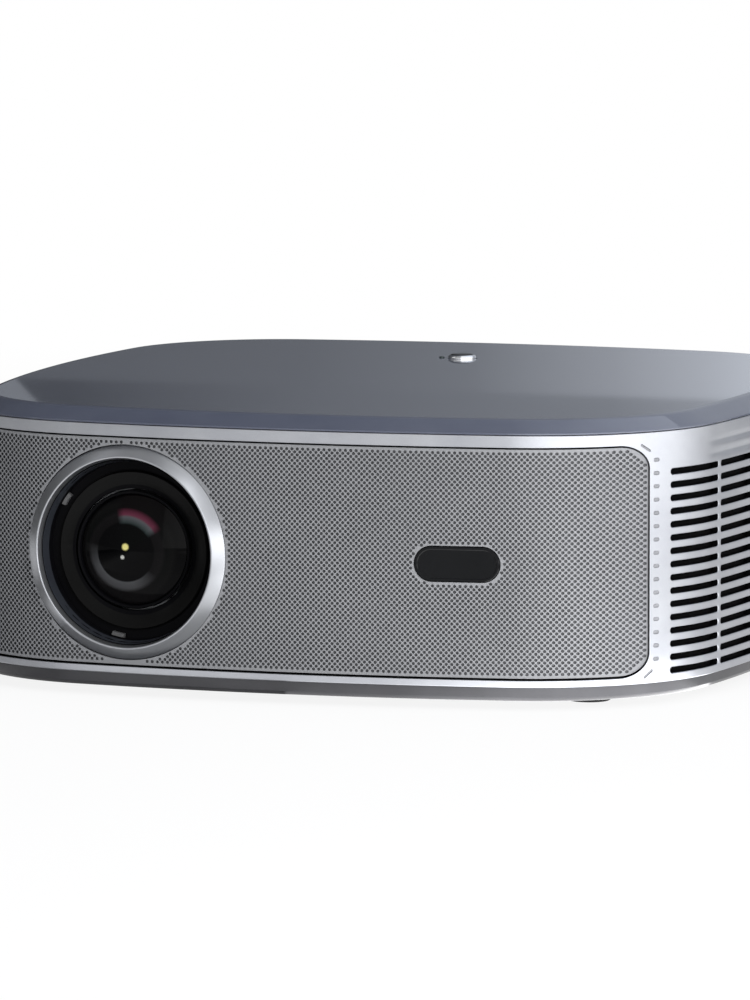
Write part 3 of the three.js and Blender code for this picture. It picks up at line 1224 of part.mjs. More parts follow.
function addElectronics() {
  addMesh(projector, 'main_board', componentBoard(MAIN_BOARD_LEFT, MAIN_BOARD_RIGHT, MAIN_BOARD_FRONT,
    BOARD_BACK, mainBoardShares), boardGreen);
  addMesh(projector, 'power_supply', componentBoard(SUPPLY_LEFT, SUPPLY_RIGHT, SUPPLY_FRONT,
    BOARD_BACK, supplyShares), boardGreen);
  const [xShare, yShare] = mainBoardShares[0];
  addMesh(projector, 'processor_heat_sink',
    combSink(PROCESSOR_SINK_SIZE, PROCESSOR_SINK_SIZE, PROCESSOR_SINK_HEIGHT, PROCESSOR_SINK_FINS).translate(
      MAIN_BOARD_LEFT + (MAIN_BOARD_RIGHT - MAIN_BOARD_LEFT) * xShare,
      MAIN_BOARD_FRONT + (BOARD_BACK - MAIN_BOARD_FRONT) * yShare,
      BOARD_Z + SHEET + CHIP_HEIGHT + GAP,
    ), aluminium);

  addMesh(projector, 'rear_panel', rearPanel(), blackPlastic);
  const sockets = [
    ['video_socket_1', videoX1, boxSocket(VIDEO_WIDTH, VIDEO_HEIGHT), steel],
    ['video_socket_2', videoX2, boxSocket(VIDEO_WIDTH, VIDEO_HEIGHT), steel],
    ['data_socket_1', dataX1, boxSocket(DATA_WIDTH, DATA_HEIGHT), steel],
    ['data_socket_2', dataX2, boxSocket(DATA_WIDTH, DATA_HEIGHT), steel],
    ['audio_jack', jackX, audioJack(), blackPlastic],
    ['power_inlet', INLET_X, powerInlet(), blackPlastic],
  ];
  sockets.forEach(([name, x, shape, paint]) => {
    addMesh(addGroup(projector, x, SOCKET_FACE_Y, SOCKET_Z), name, shape, paint);
  });

  const cameraY = frontY(WINDOW_X + CAMERA_WIDTH / 2) + CARRIER_BACK + 2 * GAP;
  addMesh(addGroup(projector, WINDOW_X, cameraY, LENS_Z), 'autofocus_camera', join(
    between(-CAMERA_WIDTH / 2, CAMERA_WIDTH / 2, 0, CAMERA_DEPTH, -CAMERA_HEIGHT / 2, CAMERA_HEIGHT / 2),
    rod(CAMERA_LENS_RADIUS, -CARRIER_THICKNESS, CAMERA_DEPTH / 2),
  ), blackPlastic);
}

// Power button, the switch board under it and the status light
function addButton() {
  const button = addGroup(projector, BUTTON_X, BUTTON_Y, 0);
  addMesh(button, 'power_button', join(
    post(BUTTON_STEM_RADIUS, TOP_Z - BUTTON_STEM_Z, 0, 0, BUTTON_STEM_Z),
    post(BUTTON_RADIUS + BUTTON_FLANGE, BUTTON_FLANGE_THICKNESS, 0, 0, BUTTON_FLANGE_Z, ROUND_STEPS),
    post(BUTTON_RADIUS, TOP_Z + BUTTON_PROUD - BUTTON_FLANGE_Z, 0, 0, BUTTON_FLANGE_Z, ROUND_STEPS),
  ), chrome);

  const lightTop = TOP_Z + LIGHT_PROUD;
  const lightBottom = BUTTON_BOARD_Z + SHEET + LED_CHIP_HEIGHT + GAP;
  addMesh(addGroup(projector, LIGHT_X, BUTTON_Y, 0), 'status_light', join(
    post(LIGHT_RADIUS, lightTop - lightBottom, 0, 0, lightBottom),
    post(LIGHT_RADIUS + LIGHT_FLANGE, LIGHT_FLANGE, 0, 0, UNDER_TOP_Z - GAP - LIGHT_FLANGE),
  ), glass);

  const boardTop = BUTTON_BOARD_Z + SHEET;
  addMesh(projector, 'button_board', join(
    block(BUTTON_BOARD_LENGTH, BUTTON_BOARD_WIDTH, SHEET, BUTTON_BOARD_X, BUTTON_Y, BUTTON_BOARD_Z),
    block(SWITCH_SIZE, SWITCH_SIZE, SWITCH_HEIGHT + SHEET / 2, BUTTON_X, BUTTON_Y, boardTop - SHEET / 2),
    post(BUTTON_STEM_RADIUS, PLUNGER_Z - boardTop, BUTTON_X, BUTTON_Y, boardTop),
    block(2 * LIGHT_RADIUS, 2 * LIGHT_RADIUS, LED_CHIP_HEIGHT + SHEET / 2, LIGHT_X, BUTTON_Y,
      boardTop - SHEET / 2),
  ), boardGreen);
}

// Speaker: a box with its magnet, open at the front, and a cone that moves in the opening
function speakerBox() {
  const half = SPEAKER_WIDTH / 2;
  const tall = SPEAKER_HEIGHT / 2;
  const wall = SPEAKER_WALL;
  const shell = cut(
    solid(between(-half, half, 0, SPEAKER_LENGTH, -tall, tall)),
    between(wall - half, half - wall, wall, SPEAKER_LENGTH - wall, wall - tall, tall - wall),
    rod(SPEAKER_BORE, -OVERRUN, wall + GAP),
  );
  const magnetFront = wall + CONE_DEPTH + wall;
  return shell.add(solid(rod(MAGNET_RADIUS, magnetFront, SPEAKER_LENGTH - wall / 2)));
}

function speakerCone() {
  const rim = SPEAKER_BORE - GAP;
  const back = CONE_DEPTH + SPEAKER_WALL / 2;
  const front = SPEAKER_WALL / 2;
  return turned([
    [0, back],
    [DOME_RADIUS, back],
    [rim, front + CONE_THICKNESS],
    [rim, front],
    [DOME_RADIUS, back - CONE_THICKNESS],
    [DOME_RADIUS / 2, back - 2 * CONE_THICKNESS],
    [0, back - 2.5 * CONE_THICKNESS],
  ]);
}

function addSpeakers() {
  const places = { inner: [SPEAKER_INNER_X, SPEAKER_INNER_Y], outer: [SPEAKER_OUTER_X, SPEAKER_OUTER_Y] };
  Object.entries(places).forEach(([place, [x, y]]) => {
    const group = addGroup(projector, x, y, LENS_Z);
    addMesh(group, `speaker_${place}`, speakerBox(), blackPlastic);
    addMesh(group, `speaker_cone_${place}`, speakerCone(), coneGrey);
  });
}

addShell();
addFeetAndScrews();
addLens();
addEngine();
addCooling();
addElectronics();
addButton();
addSpeakers();

export default projector;
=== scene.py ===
"""Looks of a home projector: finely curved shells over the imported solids, studio light and camera.

Lengths are in millimetres and become metres where a mesh is made. The frame is the part's own: X to the
right seen from the front, Y to the back, Z up, origin under the middle of the feet.
"""

import math
from collections import Counter

import bmesh
import bpy
import numpy as np
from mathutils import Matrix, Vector
from mathutils.geometry import delaunay_2d_cdt, tessellate_polygon


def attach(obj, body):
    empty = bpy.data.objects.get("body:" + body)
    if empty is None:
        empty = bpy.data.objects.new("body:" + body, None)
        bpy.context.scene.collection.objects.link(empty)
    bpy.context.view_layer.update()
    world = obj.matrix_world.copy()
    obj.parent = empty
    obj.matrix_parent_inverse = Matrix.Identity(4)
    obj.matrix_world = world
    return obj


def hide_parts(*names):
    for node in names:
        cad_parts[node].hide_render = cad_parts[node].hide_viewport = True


MM = 0.001
TAU = 2 * math.pi

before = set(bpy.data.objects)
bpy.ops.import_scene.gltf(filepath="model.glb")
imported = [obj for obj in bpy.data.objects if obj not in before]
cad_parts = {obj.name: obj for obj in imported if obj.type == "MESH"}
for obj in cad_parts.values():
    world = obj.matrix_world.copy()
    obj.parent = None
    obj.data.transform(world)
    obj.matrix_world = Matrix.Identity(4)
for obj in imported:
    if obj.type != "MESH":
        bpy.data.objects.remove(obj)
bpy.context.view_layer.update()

# Plan of the body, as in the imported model
HALF = 145.0
BOW = 19.8
CORNER = 70.0
FACE_RADIUS = (HALF ** 2 + BOW ** 2) / (2 * BOW)
FACE_CENTRE = FACE_RADIUS - HALF
# The corner's middle is as far from both face centres as their radii less its own
CORNER_AT = (-FACE_CENTRE + math.sqrt(2 * (FACE_RADIUS - CORNER) ** 2 - FACE_CENTRE ** 2)) / 2
FACE_ANGLE = math.asin(CORNER_AT / (FACE_RADIUS - CORNER))
FACE_ARC = FACE_RADIUS * FACE_ANGLE
CORNER_ARC = CORNER * (math.pi / 2 - 2 * FACE_ANGLE)
QUARTER = 2 * FACE_ARC + CORNER_ARC
LOOP = 4 * QUARTER

# Levels
FRAME_Z = 8.6
EDGE_Z = 96.9
TOP_Z = 101.7
SEAM = 0.15
RIM = 0.35
WALL = 2.5
COVER_BEVEL = 8.9
COVER_UNDER_Z = 99.5
COVER_LIP_Z = 93.9
FLANGE = 9.0
FLANGE_Z = FRAME_Z + 2.0
FRAME_STEPS = 280

# Front opening, grille and lens
OPENING_X = 124.9
OPENING_Z0 = 10.9
OPENING_Z1 = 92.6
OPENING_RADIUS = 8.4
OPENING = (-OPENING_X, OPENING_X, OPENING_Z0, OPENING_Z1, OPENING_RADIUS)
GRILLE_GAP = 0.8
GRILLE_INSET = 1.0
GRILLE_SHEET = 1.5
PIECE_GAP = 0.3
# Least metal left between a hole and an outline
HOLE_MARGIN = 0.12
# Distance of the points over the grille's back
BACK_STEP = 6.0
HOLE_PITCH_X = 1.94
HOLE_PITCH_Z = 2.03
HOLE_RADIUS = 0.62
HOLE_DEPTH = 0.8
LENS_X = -58.6
LENS_Z = 51.4
BEZEL_RADIUS = 37.9
BEZEL_BORE = 32.9
WINDOW_X = 62.9
WINDOW_WIDTH = 30.0
WINDOW_HEIGHT = 12.2

# Vent slots and dimples
SLOT_ROWS = 16
SLOT_COLUMNS = 3
SLOT_PITCH = 4.66
SLOT_Z = 12.4
SLOT_HEIGHT = 2.2
SLOT_LENGTH = 31.0
SLOT_RIB = 2.0
SLOT_PAST_CORNER = 26.5
SLOT_EDGE = 0.22
DIMPLE_X = 126.3
DIMPLE_RADIUS = 0.75
DIMPLE_LENGTH = 1.2
# Slanted slits at the opening's outer corners, in arc length and height
SLITS = [((130.0, 92.4), (133.4, 90.3)), ((131.5, 10.9), (134.5, 13.0))]
SLIT_RADIUS = 0.5
GROOVES = (86.5, 90.9)
GROOVE_DEPTH = 0.4
GROOVE_SPREAD = 1.1

# Rear bay
BAY_X = 78.3
BAY_Z0 = 11.3
BAY_Z1 = 43.9
BAY_RADIUS = 4.3
BAY = (-BAY_X, BAY_X, BAY_Z0, BAY_Z1, BAY_RADIUS)

# Button, status light and feet
BUTTON_Y = 75.0
BUTTON_RADIUS = 5.2
BUTTON_GAP = 0.3
LIGHT_X = -7.8
LIGHT_RADIUS = 1.0
FOOT_AT = 99.0


# Plan curve

def place(along, inset=0.0):
    """Points and outward directions of the plan at arc lengths from the front's middle, going right."""
    along = np.asarray(along, float)
    inset = np.broadcast_to(np.asarray(inset, float), along.shape)
    side = np.floor(along / QUARTER + 0.5)
    local = along - side * QUARTER
    reach = np.abs(local)
    on_face = reach <= FACE_ARC
    angle = np.where(on_face, reach / FACE_RADIUS, FACE_ANGLE + (reach - FACE_ARC) / CORNER)
    out_x = np.sin(angle)
    out_y = -np.cos(angle)
    radius = np.where(on_face, FACE_RADIUS, CORNER) - inset
    x = np.where(on_face, 0.0, CORNER_AT) + radius * out_x
    y = np.where(on_face, FACE_CENTRE, -CORNER_AT) + radius * out_y
    sign = np.where(local < 0, -1.0, 1.0)
    x, out_x = x * sign, out_x * sign
    turn = side * math.pi / 2
    c, s = np.cos(turn), np.sin(turn)
    points = np.stack([c * x - s * y, s * x + c * y], -1)
    outward = np.stack([c * out_x - s * out_y, s * out_x + c * out_y], -1)
    return points, outward


def along_at_x(x, inset=0.0):
    """Arc length where the front, at that inset, crosses a distance x from the middle."""
    x = np.asarray(x, float)
    reach = np.abs(x)
    radius = FACE_RADIUS - inset
    edge = radius * math.sin(FACE_ANGLE)
    face = np.arcsin(np.minimum(reach, edge) / radius) * FACE_RADIUS
    share = np.clip((reach - CORNER_AT) / (CORNER - inset), -1, 1)
    bend = FACE_ARC + (np.arcsin(share) - FACE_ANGLE) * CORNER
    return np.where(reach <= edge, face, bend) * np.sign(x)


def front_surface(x, inset):
    """Y of the front surface, and its outward directions, at distances x from the middle."""
    points, outward = place(along_at_x(x, inset), inset)
    return points[:, 1], outward


# Mesh making

class Shell:
    """Collects points with normals, and faces. A plain face takes its own normal instead of its points'."""

    def __init__(self):
        self.points = []
        self.normals = []
        self.count = 0
        self.faces = []
        self.plain = []
        self.slots = []

    def add(self, points, normals=None):
        points = np.asarray(points, float)
        normals = np.zeros_like(points) if normals is None else np.asarray(normals, float)
        self.points.append(points)
        self.normals.append(normals)
        start = self.count
        self.count += len(points)
        return np.arange(start, self.count)

    def face(self, corners, plain=True, slot=0):
        self.faces.append([int(k) for k in corners])
        self.plain.append(plain)
        self.slots.append(slot)

    def band(self, low, high, looped=True, plain=True, slot=0):
        """Quads between two rows of points."""
        count = len(low)
        for k in range(count if looped else count - 1):
            after = (k + 1) % count
            self.face([low[k], low[after], high[after], high[k]], plain, slot)

    def fan(self, ring, middle, plain=True, slot=0):
        count = len(ring)
        for k in range(count):
            self.face([ring[k], ring[(k + 1) % count], middle], plain, slot)


def values_of(items, name, kind=float, size=1):
    values = np.zeros(len(items) * size, kind)
    items.foreach_get(name, values)
    return values


def new_piece(name, shell, materials, body="projector", replaces=(), smooth_angle=None, merge=True):
    """Makes an object from a shell. With a smooth angle its edges are smooth below it, and otherwise the
    shell's own normals are used."""
    points = np.concatenate(shell.points) * MM
    normals = np.concatenate(shell.normals)
    mesh = bpy.data.meshes.new(name)
    mesh.from_pydata(points.tolist(), [], shell.faces)
    mesh.polygons.foreach_set("material_index", shell.slots)
    for material in materials:
        mesh.materials.append(material)
    plain = mesh.attributes.new("plain", "BOOLEAN", "FACE")
    plain.data.foreach_set("value", shell.plain)
    given = mesh.attributes.new("given", "FLOAT_VECTOR", "POINT")
    given.data.foreach_set("vector", normals.ravel())
    work = bmesh.new()
    work.from_mesh(mesh)
    if merge:
        bmesh.ops.remove_doubles(work, verts=work.verts, dist=1e-6)
        bmesh.ops.recalc_face_normals(work, faces=work.faces)
    work.to_mesh(mesh)
    work.free()
    smooth = np.ones(len(mesh.polygons), bool)
    if smooth_angle is None:
        smooth = ~values_of(mesh.attributes["plain"].data, "value", bool)
    mesh.polygons.foreach_set("use_smooth", smooth)
    if smooth_angle is not None:
        mesh.set_sharp_from_angle(angle=math.radians(smooth_angle))
    else:
        per_point = values_of(mesh.attributes["given"].data, "vector", size=3).reshape(-1, 3)
        per_corner = per_point[values_of(mesh.loops, "vertex_index", np.int32)]
        per_corner[np.repeat(~smooth, values_of(mesh.polygons, "loop_total", np.int32))] = 0
        mesh.normals_split_custom_set(per_corner.tolist())
    mesh.attributes.remove(mesh.attributes["plain"])
    mesh.attributes.remove(mesh.attributes["given"])
    piece = bpy.data.objects.new(name, mesh)
    bpy.context.scene.collection.objects.link(piece)
    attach(piece, body)
    if replaces:
        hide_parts(*replaces)


def circle(radius, count, phase=0.0):
    angle = TAU * (np.arange(count) + phase) / count
    return np.stack([radius * np.cos(angle), radius * np.sin(angle)], -1)


def rounded_rectangle(x0, x1, z0, z1, radius, step, bend=8):
    """Closed outline, counterclockwise, with points at most a step apart on its straights."""
    corners = [(x1 - radius, z0 + radius, -90), (x1 - radius, z1 - radius, 0),
               (x0 + radius, z1 - radius, 90), (x0 + radius, z0 + radius, 180)]
    arcs = []
    for cx, cz, start in corners:
        angles = np.radians(start + 90 * np.arange(bend + 1) / bend)
        arcs.append(np.stack([cx + radius * np.cos(angles), cz + radius * np.sin(angles)], -1))
    outline = []
    for arc, after in zip(arcs, arcs[1:] + arcs[:1]):
        straight = after[0] - arc[-1]
        cuts = int(np.linalg.norm(straight) // step)
        share = np.arange(1, cuts + 1)[:, None] / (cuts + 1)
        outline += [arc, arc[-1] + straight * share]
    return np.concatenate(outline)


def pill_outline(x, z, width, height, step, bend=8):
    return rounded_rectangle(x - width / 2, x + width / 2, z - height / 2, z + height / 2,
                             height / 2 - 1e-4, step, bend)


def in_rounded(points, x0, x1, z0, z1, radius):
    """True where points lie inside a rounded rectangle."""
    cx = np.clip(points[:, 0], x0 + radius, x1 - radius)
    cz = np.clip(points[:, 1], z0 + radius, z1 - radius)
    return np.hypot(points[:, 0] - cx, points[:, 1] - cz) <= radius


def triangulate(loops, loose, inside, ties=()):
    """Delaunay triangles over closed loops of edges, loose points and ties between loose points, kept where
    inside() is true of a triangle's middle. They index the loops' points and then the loose ones."""
    points = [p for loop in loops for p in loop] + list(loose)
    edges = []
    start = 0
    for loop in loops:
        edges += [(start + k, start + (k + 1) % len(loop)) for k in range(len(loop))]
        start += len(loop)
    edges += [(start + a, start + b) for a, b in ties]
    made, _, triangles, origin, _, _ = delaunay_2d_cdt([Vector(p) for p in points], edges, [], 0, 1e-6)
    places = np.array([tuple(v) for v in made])
    own = np.array([ids[0] if ids else -1 for ids in origin])
    faces = np.array([list(t) for t in triangles])
    keep = inside(places[faces].mean(1)) & (own[faces] >= 0).all(1)
    return own[faces[keep]]


def split(ids, loops):
    """Numbers of points, parted into those of each loop and the rest."""
    return np.split(ids, np.cumsum([len(loop) for loop in loops]))


# Middle frame

def groove_depth(along, z):
    """Soft shallow grooves over the vent slots, on both sides."""
    from_side = np.abs(np.abs(along) - QUARTER)
    reach = np.clip((90 - from_side) / 20, 0, 1)
    depth = np.zeros_like(z)
    for level in GROOVES:
        depth += GROOVE_DEPTH * np.exp(-((z - level) / GROOVE_SPREAD) ** 2)
    return depth * reach


def frame_skin(along, z, inset=0.0):
    points, outward = place(along, inset)
    return np.column_stack([points, z]), np.column_stack([outward, np.zeros(len(points))])


def frame_outer(along, z):
    """Outer surface with its grooves, and its normals."""
    nudge = 0.05
    points, normals = frame_skin(along, z, groove_depth(along, z))
    rise = (groove_depth(along, z + nudge) - groove_depth(along, z - nudge)) / (2 * nudge)
    normals[:, 2] = rise
    return points, normals / np.linalg.norm(normals, axis=1)[:, None]


def slot_centres():
    """Middles of the vent slots in arc length and height, on both sides."""
    first = QUARTER - FACE_ARC - SLOT_PAST_CORNER
    found = []
    for side in (1, -1):
        for row in range(SLOT_ROWS):
            for column in range(SLOT_COLUMNS):
                start = first + column * (SLOT_LENGTH + SLOT_RIB)
                found.append((side * (start + SLOT_LENGTH / 2), SLOT_Z + row * SLOT_PITCH))
    return found


def pits():
    """Pits beside the opening as (start, end, radius), in arc length and height, on both sides."""
    along = float(along_at_x(DIMPLE_X))
    levels = [SLOT_Z + row * SLOT_PITCH for row in range(1, SLOT_ROWS + 1)]
    drawn = [((along, z), (along + DIMPLE_LENGTH, z), DIMPLE_RADIUS) for z in levels]
    drawn += [(start, end, SLIT_RADIUS) for start, end in SLITS]
    return [(np.array(start) * (side, 1), np.array(end) * (side, 1), radius)
            for side in (1, -1) for start, end, radius in drawn]


def pit_outline(start, end, radius, count=12):
    lean = math.atan2(end[1] - start[1], end[0] - start[0])
    angle = TAU * (np.arange(count) + 0.5) / count
    ahead = np.cos(angle - lean) > 0
    ends = np.where(ahead[:, None], end, start)
    return ends + radius * np.stack([np.cos(angle), np.sin(angle)], -1)


def front_loop(outline, inset):
    """A loop drawn in x and z on the front, as arc lengths and heights at an inset."""
    return np.column_stack([along_at_x(outline[:, 0], inset), outline[:, 1]])


def rear_loop(outline, inset):
    along = 2 * QUARTER - along_at_x(outline[:, 0], inset)
    return np.column_stack([along, outline[:, 1]])


# dark paints shade near black on the walls of the opening, the bay and the vent slots, and on the sheet's
# inside; grey paints shade in the pits
def make_frame_shell(paint, dark, grey):
    shell = Shell()
    z0, z1 = FRAME_Z + RIM, EDGE_Z - SEAM - RIM
    # The sheet is cut open on the left side's middle and runs from there round the front
    seam = -QUARTER
    row = seam + LOOP * np.arange(FRAME_STEPS + 1) / FRAME_STEPS
    opening = rounded_rectangle(*OPENING, 4.0, 10)
    bay = rounded_rectangle(*BAY, 4.0, 6)[::-1]
    slots = slot_centres()
    hollows = pits()

    def seam_side(loop):
        """Arc lengths brought into the sheet's own range."""
        turned_loop = loop.copy()
        turned_loop[:, 0] += LOOP * math.floor((seam + LOOP - loop[:, 0].mean()) / LOOP)
        return turned_loop

    def rear_side(outline, inset):
        return seam_side(rear_loop(outline, inset))

    def through_loops(inset, margin):
        length, height = SLOT_LENGTH + 2 * margin, SLOT_HEIGHT + 2 * margin
        pills = [seam_side(pill_outline(along, z, length, height, 6.0, 6)) for along, z in slots]
        return [front_loop(opening, inset), rear_side(bay, inset)] + pills

    def grid(loops, spacing, levels):
        """Points between those of the row, away from the loops."""
        along = row[1:-1] + (row[1] - row[0]) / 2
        candidates = np.array([(u, v) for u in along for v in levels])
        edge = np.concatenate(loops)
        near = [np.hypot(some[:, :1] - edge[:, 0], some[:, 1:] - edge[:, 1]).min(1) < spacing
                for some in np.array_split(candidates, len(candidates) // 500 + 1)]
        return candidates[~np.concatenate(near)]

    def solid_places(inset, margin, cut_pits=()):
        """A test of which places of the sheet are solid."""
        centres = [seam_side(np.array([centre]))[0] for centre in slots]
        half = SLOT_HEIGHT / 2 + margin

        def inside(middles):
            spots, _ = place(middles[:, 0], inset)
            drawn = np.column_stack([spots[:, 0], middles[:, 1]])
            keep = ~((spots[:, 1] < -CORNER_AT) & in_rounded(drawn, *OPENING))
            keep &= ~((spots[:, 1] > CORNER_AT) & in_rounded(drawn, *BAY))
            for along, z in centres:
                flat = np.abs(middles[:, 0] - along) - (SLOT_LENGTH / 2 + margin - half)
                keep &= np.hypot(np.maximum(flat, 0), middles[:, 1] - z) > half - 1e-6
            for start, end, radius in cut_pits:
                span = end - start
                share = np.clip((middles - start) @ span / (span @ span), 0, 1)
                nearest = start + share[:, None] * span
                # The pit's outline has corners, so its straights lie a little inside its radius
                keep &= np.linalg.norm(middles - nearest, axis=1) > radius * 0.96
            return keep
        return inside

    def add_sheet(loops, loose, inside, surface_at, slot):
        """A sheet of triangles with holes. Returns its points' numbers, loop by loop."""
        flat = np.concatenate([*loops, loose])
        ids = shell.add(*surface_at(flat[:, 0], flat[:, 1]))
        for triangle in triangulate(loops, loose, inside):
            shell.face(ids[triangle], plain=False, slot=slot)
        return split(ids, loops)

    def inner_surface(along, z):
        points, normals = frame_skin(along, z, WALL)
        return points, -normals

    border = np.concatenate([np.column_stack([row, np.full(len(row), z0)]),
                             np.column_stack([row[::-1], np.full(len(row), z1)])])
    outer_loops = [border] + through_loops(0.0, SLOT_EDGE) + [pit_outline(*hollow) for hollow in hollows]
    # Rows of points are closer together round the grooves
    levels = set(np.linspace(z0, z1, 19)[1:-1])
    for level in GROOVES:
        levels.update(level + GROOVE_SPREAD * np.linspace(-2, 2, 9))
    outer_ids = add_sheet(outer_loops, grid(outer_loops, 0.8, sorted(levels)),
                          solid_places(0.0, SLOT_EDGE, hollows), frame_outer, 0)
    inner_loops = [border] + through_loops(WALL, 0.0)
    inner_ids = add_sheet(inner_loops, grid(inner_loops, 1.5, np.linspace(z0, z1, 8)[1:-1]),
                          solid_places(WALL, 0.0), inner_surface, 1)

    # Walls of the opening and the bay: a small chamfer, then straight in, painted near black past the chamfer
    # as painted shade in the recess
    for k, (source, to_loop) in enumerate(((opening, front_loop), (bay, rear_side)), 1):
        middle_z = (source[:, 1].max() + source[:, 1].min()) / 2
        first = outer_ids[k]
        for inset, shrink, slot in ((0.25, 0.12, 0), (GRILLE_INSET + GRILLE_SHEET, 0.0, 1)):
            loop = to_loop(source, inset)
            points, normals = frame_skin(loop[:, 0], loop[:, 1], inset)
            points[:, 2] -= shrink * np.sign(points[:, 2] - middle_z)
            second = shell.add(points, normals)
            shell.band(first, second, slot=slot)
            first = second
        shell.band(first, inner_ids[k], slot=1)
    # The vent slots have the same walls, with the same painted shade past the chamfer
    for k in range(3, len(inner_loops)):
        second = shell.add(*frame_skin(inner_loops[k][:, 0], inner_loops[k][:, 1], SLOT_EDGE))
        shell.band(outer_ids[k], second)
        shell.band(second, inner_ids[k], slot=1)

    # Pits are small bowls with a grey bottom, whose grey is painted shade in the hollow
    for previous, (start, end, radius) in zip(outer_ids[len(inner_loops):], hollows):
        for share, depth in ((0.85, 0.15), (0.55, 0.35)):
            loop = pit_outline(start, end, radius * share)
            inner = shell.add(frame_skin(loop[:, 0], loop[:, 1], depth)[0])
            shell.band(previous, inner, slot=2)
            previous = inner
        centre = (start + end) / 2
        shell.fan(previous, shell.add(frame_skin(centre[:1], centre[1:], 0.4)[0])[0], slot=2)

    def level_row(inset, z, tilt):
        points, normals = frame_skin(row, np.full(len(row), z), inset)
        normals = normals * math.cos(tilt)
        normals[:, 2] = math.sin(tilt)
        return shell.add(points, normals)

    def rounded_rim(previous, z, way, inset):
        """A quarter round from the edge of the outer wall, up or down, and a flat to an inset."""
        for angle in (30, 60, 90):
            tilt = math.radians(way * angle)
            level = level_row(RIM * (1 - math.cos(tilt)), z + RIM * math.sin(tilt), tilt)
            shell.band(previous, level, looped=False, plain=False)
            previous = level
        level = level_row(inset, z + way * RIM, way * math.pi / 2)
        shell.band(previous, level, looped=False, plain=False)
        return level

    # The border's points run along the lower edge and back along the upper one
    count = len(row)
    level = rounded_rim(outer_ids[0][count:][::-1], z1, 1, WALL)
    shell.band(level, inner_ids[0][count:][::-1], looped=False)
    level = rounded_rim(outer_ids[0][:count], z0, -1, FLANGE)
    for inset in (FLANGE, WALL):
        after = level_row(inset, FLANGE_Z, math.pi / 2)
        shell.band(level, after, looped=False)
        level = after
    shell.band(level, inner_ids[0][:count], looped=False)
    new_piece("frame_shell", shell, [paint, dark, grey], replaces=["mid_frame"])


# Top cover

def plan_ring(inset, z, tilt=0.0, steps=320):
    """A ring of the plan's outline, and normals that lean outward from straight up by a tilt."""
    along = LOOP * np.arange(steps) / steps
    points, outward = place(along, inset)
    normals = np.column_stack([outward * math.sin(tilt), np.full(steps, math.cos(tilt))])
    return np.column_stack([points, np.full(steps, float(z))]), normals


def cap(shell, outer, holes, ids, plain=True, slot=0):
    """Closes a flat ring of points with holes in it. ids has the ring's points and then each hole's."""
    loops = [outer] + holes
    triangles = tessellate_polygon([[Vector(p) for p in loop] for loop in loops])
    for triangle in triangles:
        shell.face([ids[k] for k in triangle], plain, slot)


def make_cover(paint):
    shell = Shell()
    slope = math.atan2(TOP_Z - EDGE_Z - 0.7, COVER_BEVEL)
    crease = 1.6
    bend_radius = crease / math.tan(slope / 2)
    # Bevel from the plateau's edge down to the rim, with a soft crease and a rounded outer edge
    rings = []
    for tilt in slope * np.linspace(0, 1, 6):
        inset = COVER_BEVEL + crease - bend_radius * math.sin(tilt)
        rings.append(plan_ring(inset, TOP_Z - bend_radius * (1 - math.cos(tilt)), tilt))
    edge = 0.2
    for tilt in np.linspace(slope, math.pi / 2, 5):
        rings.append(plan_ring(edge * (1 - math.sin(tilt)), EDGE_Z + 0.5 + edge * math.cos(tilt), tilt))
    rounded = len(rings)
    # The rim's underside, the lip that drops inside the frame, and the plateau's underside
    for inset, z in ((0.0, EDGE_Z + 0.15), (0.1, EDGE_Z + 0.05), (2.8, EDGE_Z + 0.05), (2.8, COVER_LIP_Z),
                     (4.6, COVER_LIP_Z), (4.6, EDGE_Z + 0.3), (8.9, COVER_UNDER_Z)):
        rings.append(plan_ring(inset, z))
    ring_ids = [shell.add(*ring) for ring in rings]
    for k, (low, high) in enumerate(zip(ring_ids, ring_ids[1:])):
        shell.band(low, high, plain=k >= rounded - 1)

    # Holes of the button and the light, with a small chamfer at the top
    tops, top_ids, unders, under_ids = [], [], [], []
    for x, radius, count in ((0.0, BUTTON_RADIUS + BUTTON_GAP, 48), (LIGHT_X, LIGHT_RADIUS + 0.15, 24)):
        levels = []
        for wider, z in ((0.15, TOP_Z), (0.0, TOP_Z - 0.15), (0.0, COVER_UNDER_Z)):
            flat = circle(radius + wider, count) + np.array([x, BUTTON_Y])
            ring = np.column_stack([flat, np.full(count, z)])
            levels.append((ring, shell.add(ring)))
        for (_, low), (_, high) in zip(levels, levels[1:]):
            shell.band(low, high)
        for (ring, ids), loops, numbers in ((levels[0], tops, top_ids), (levels[-1], unders, under_ids)):
            loops.append(ring[::-1])
            numbers.extend(ids[::-1])
    cap(shell, rings[0][0], tops, list(ring_ids[0]) + top_ids)
    cap(shell, rings[-1][0], unders, list(ring_ids[-1]) + under_ids)
    new_piece("cover_shell", shell, [paint], replaces=["top_cover"])


def make_base_skirt(plastic):
    shell = Shell()
    profile = [(4.8, 3.46), (3.75, 3.46), (3.4, 3.6), (2.5, 4.55), (2.34, 4.85), (2.34, 8.28), (3.0, 8.28)]
    rings = [shell.add(*plan_ring(inset, z)) for inset, z in profile]
    for low, high in zip(rings, rings[1:] + rings[:1]):
        shell.band(low, high)
    new_piece("base_skirt", shell, [plastic], smooth_angle=25)


# Perforated front

# Corners of a hole's rhombic cell: right, up, left and down
RHOMBUS = ((1, 0), (0, 1), (-1, 0), (0, -1))
HOLE_SIDES = 6
# Triangles between those corners, 0 to 3, and the hole's, 4 to 9, which start between right and up
CELL_FACES = np.array([(0, 4, 9), (0, 1, 4), (1, 5, 4), (1, 6, 5), (1, 2, 6), (2, 7, 6), (2, 3, 7), (3, 8, 7),
                       (3, 9, 8), (3, 0, 9)])


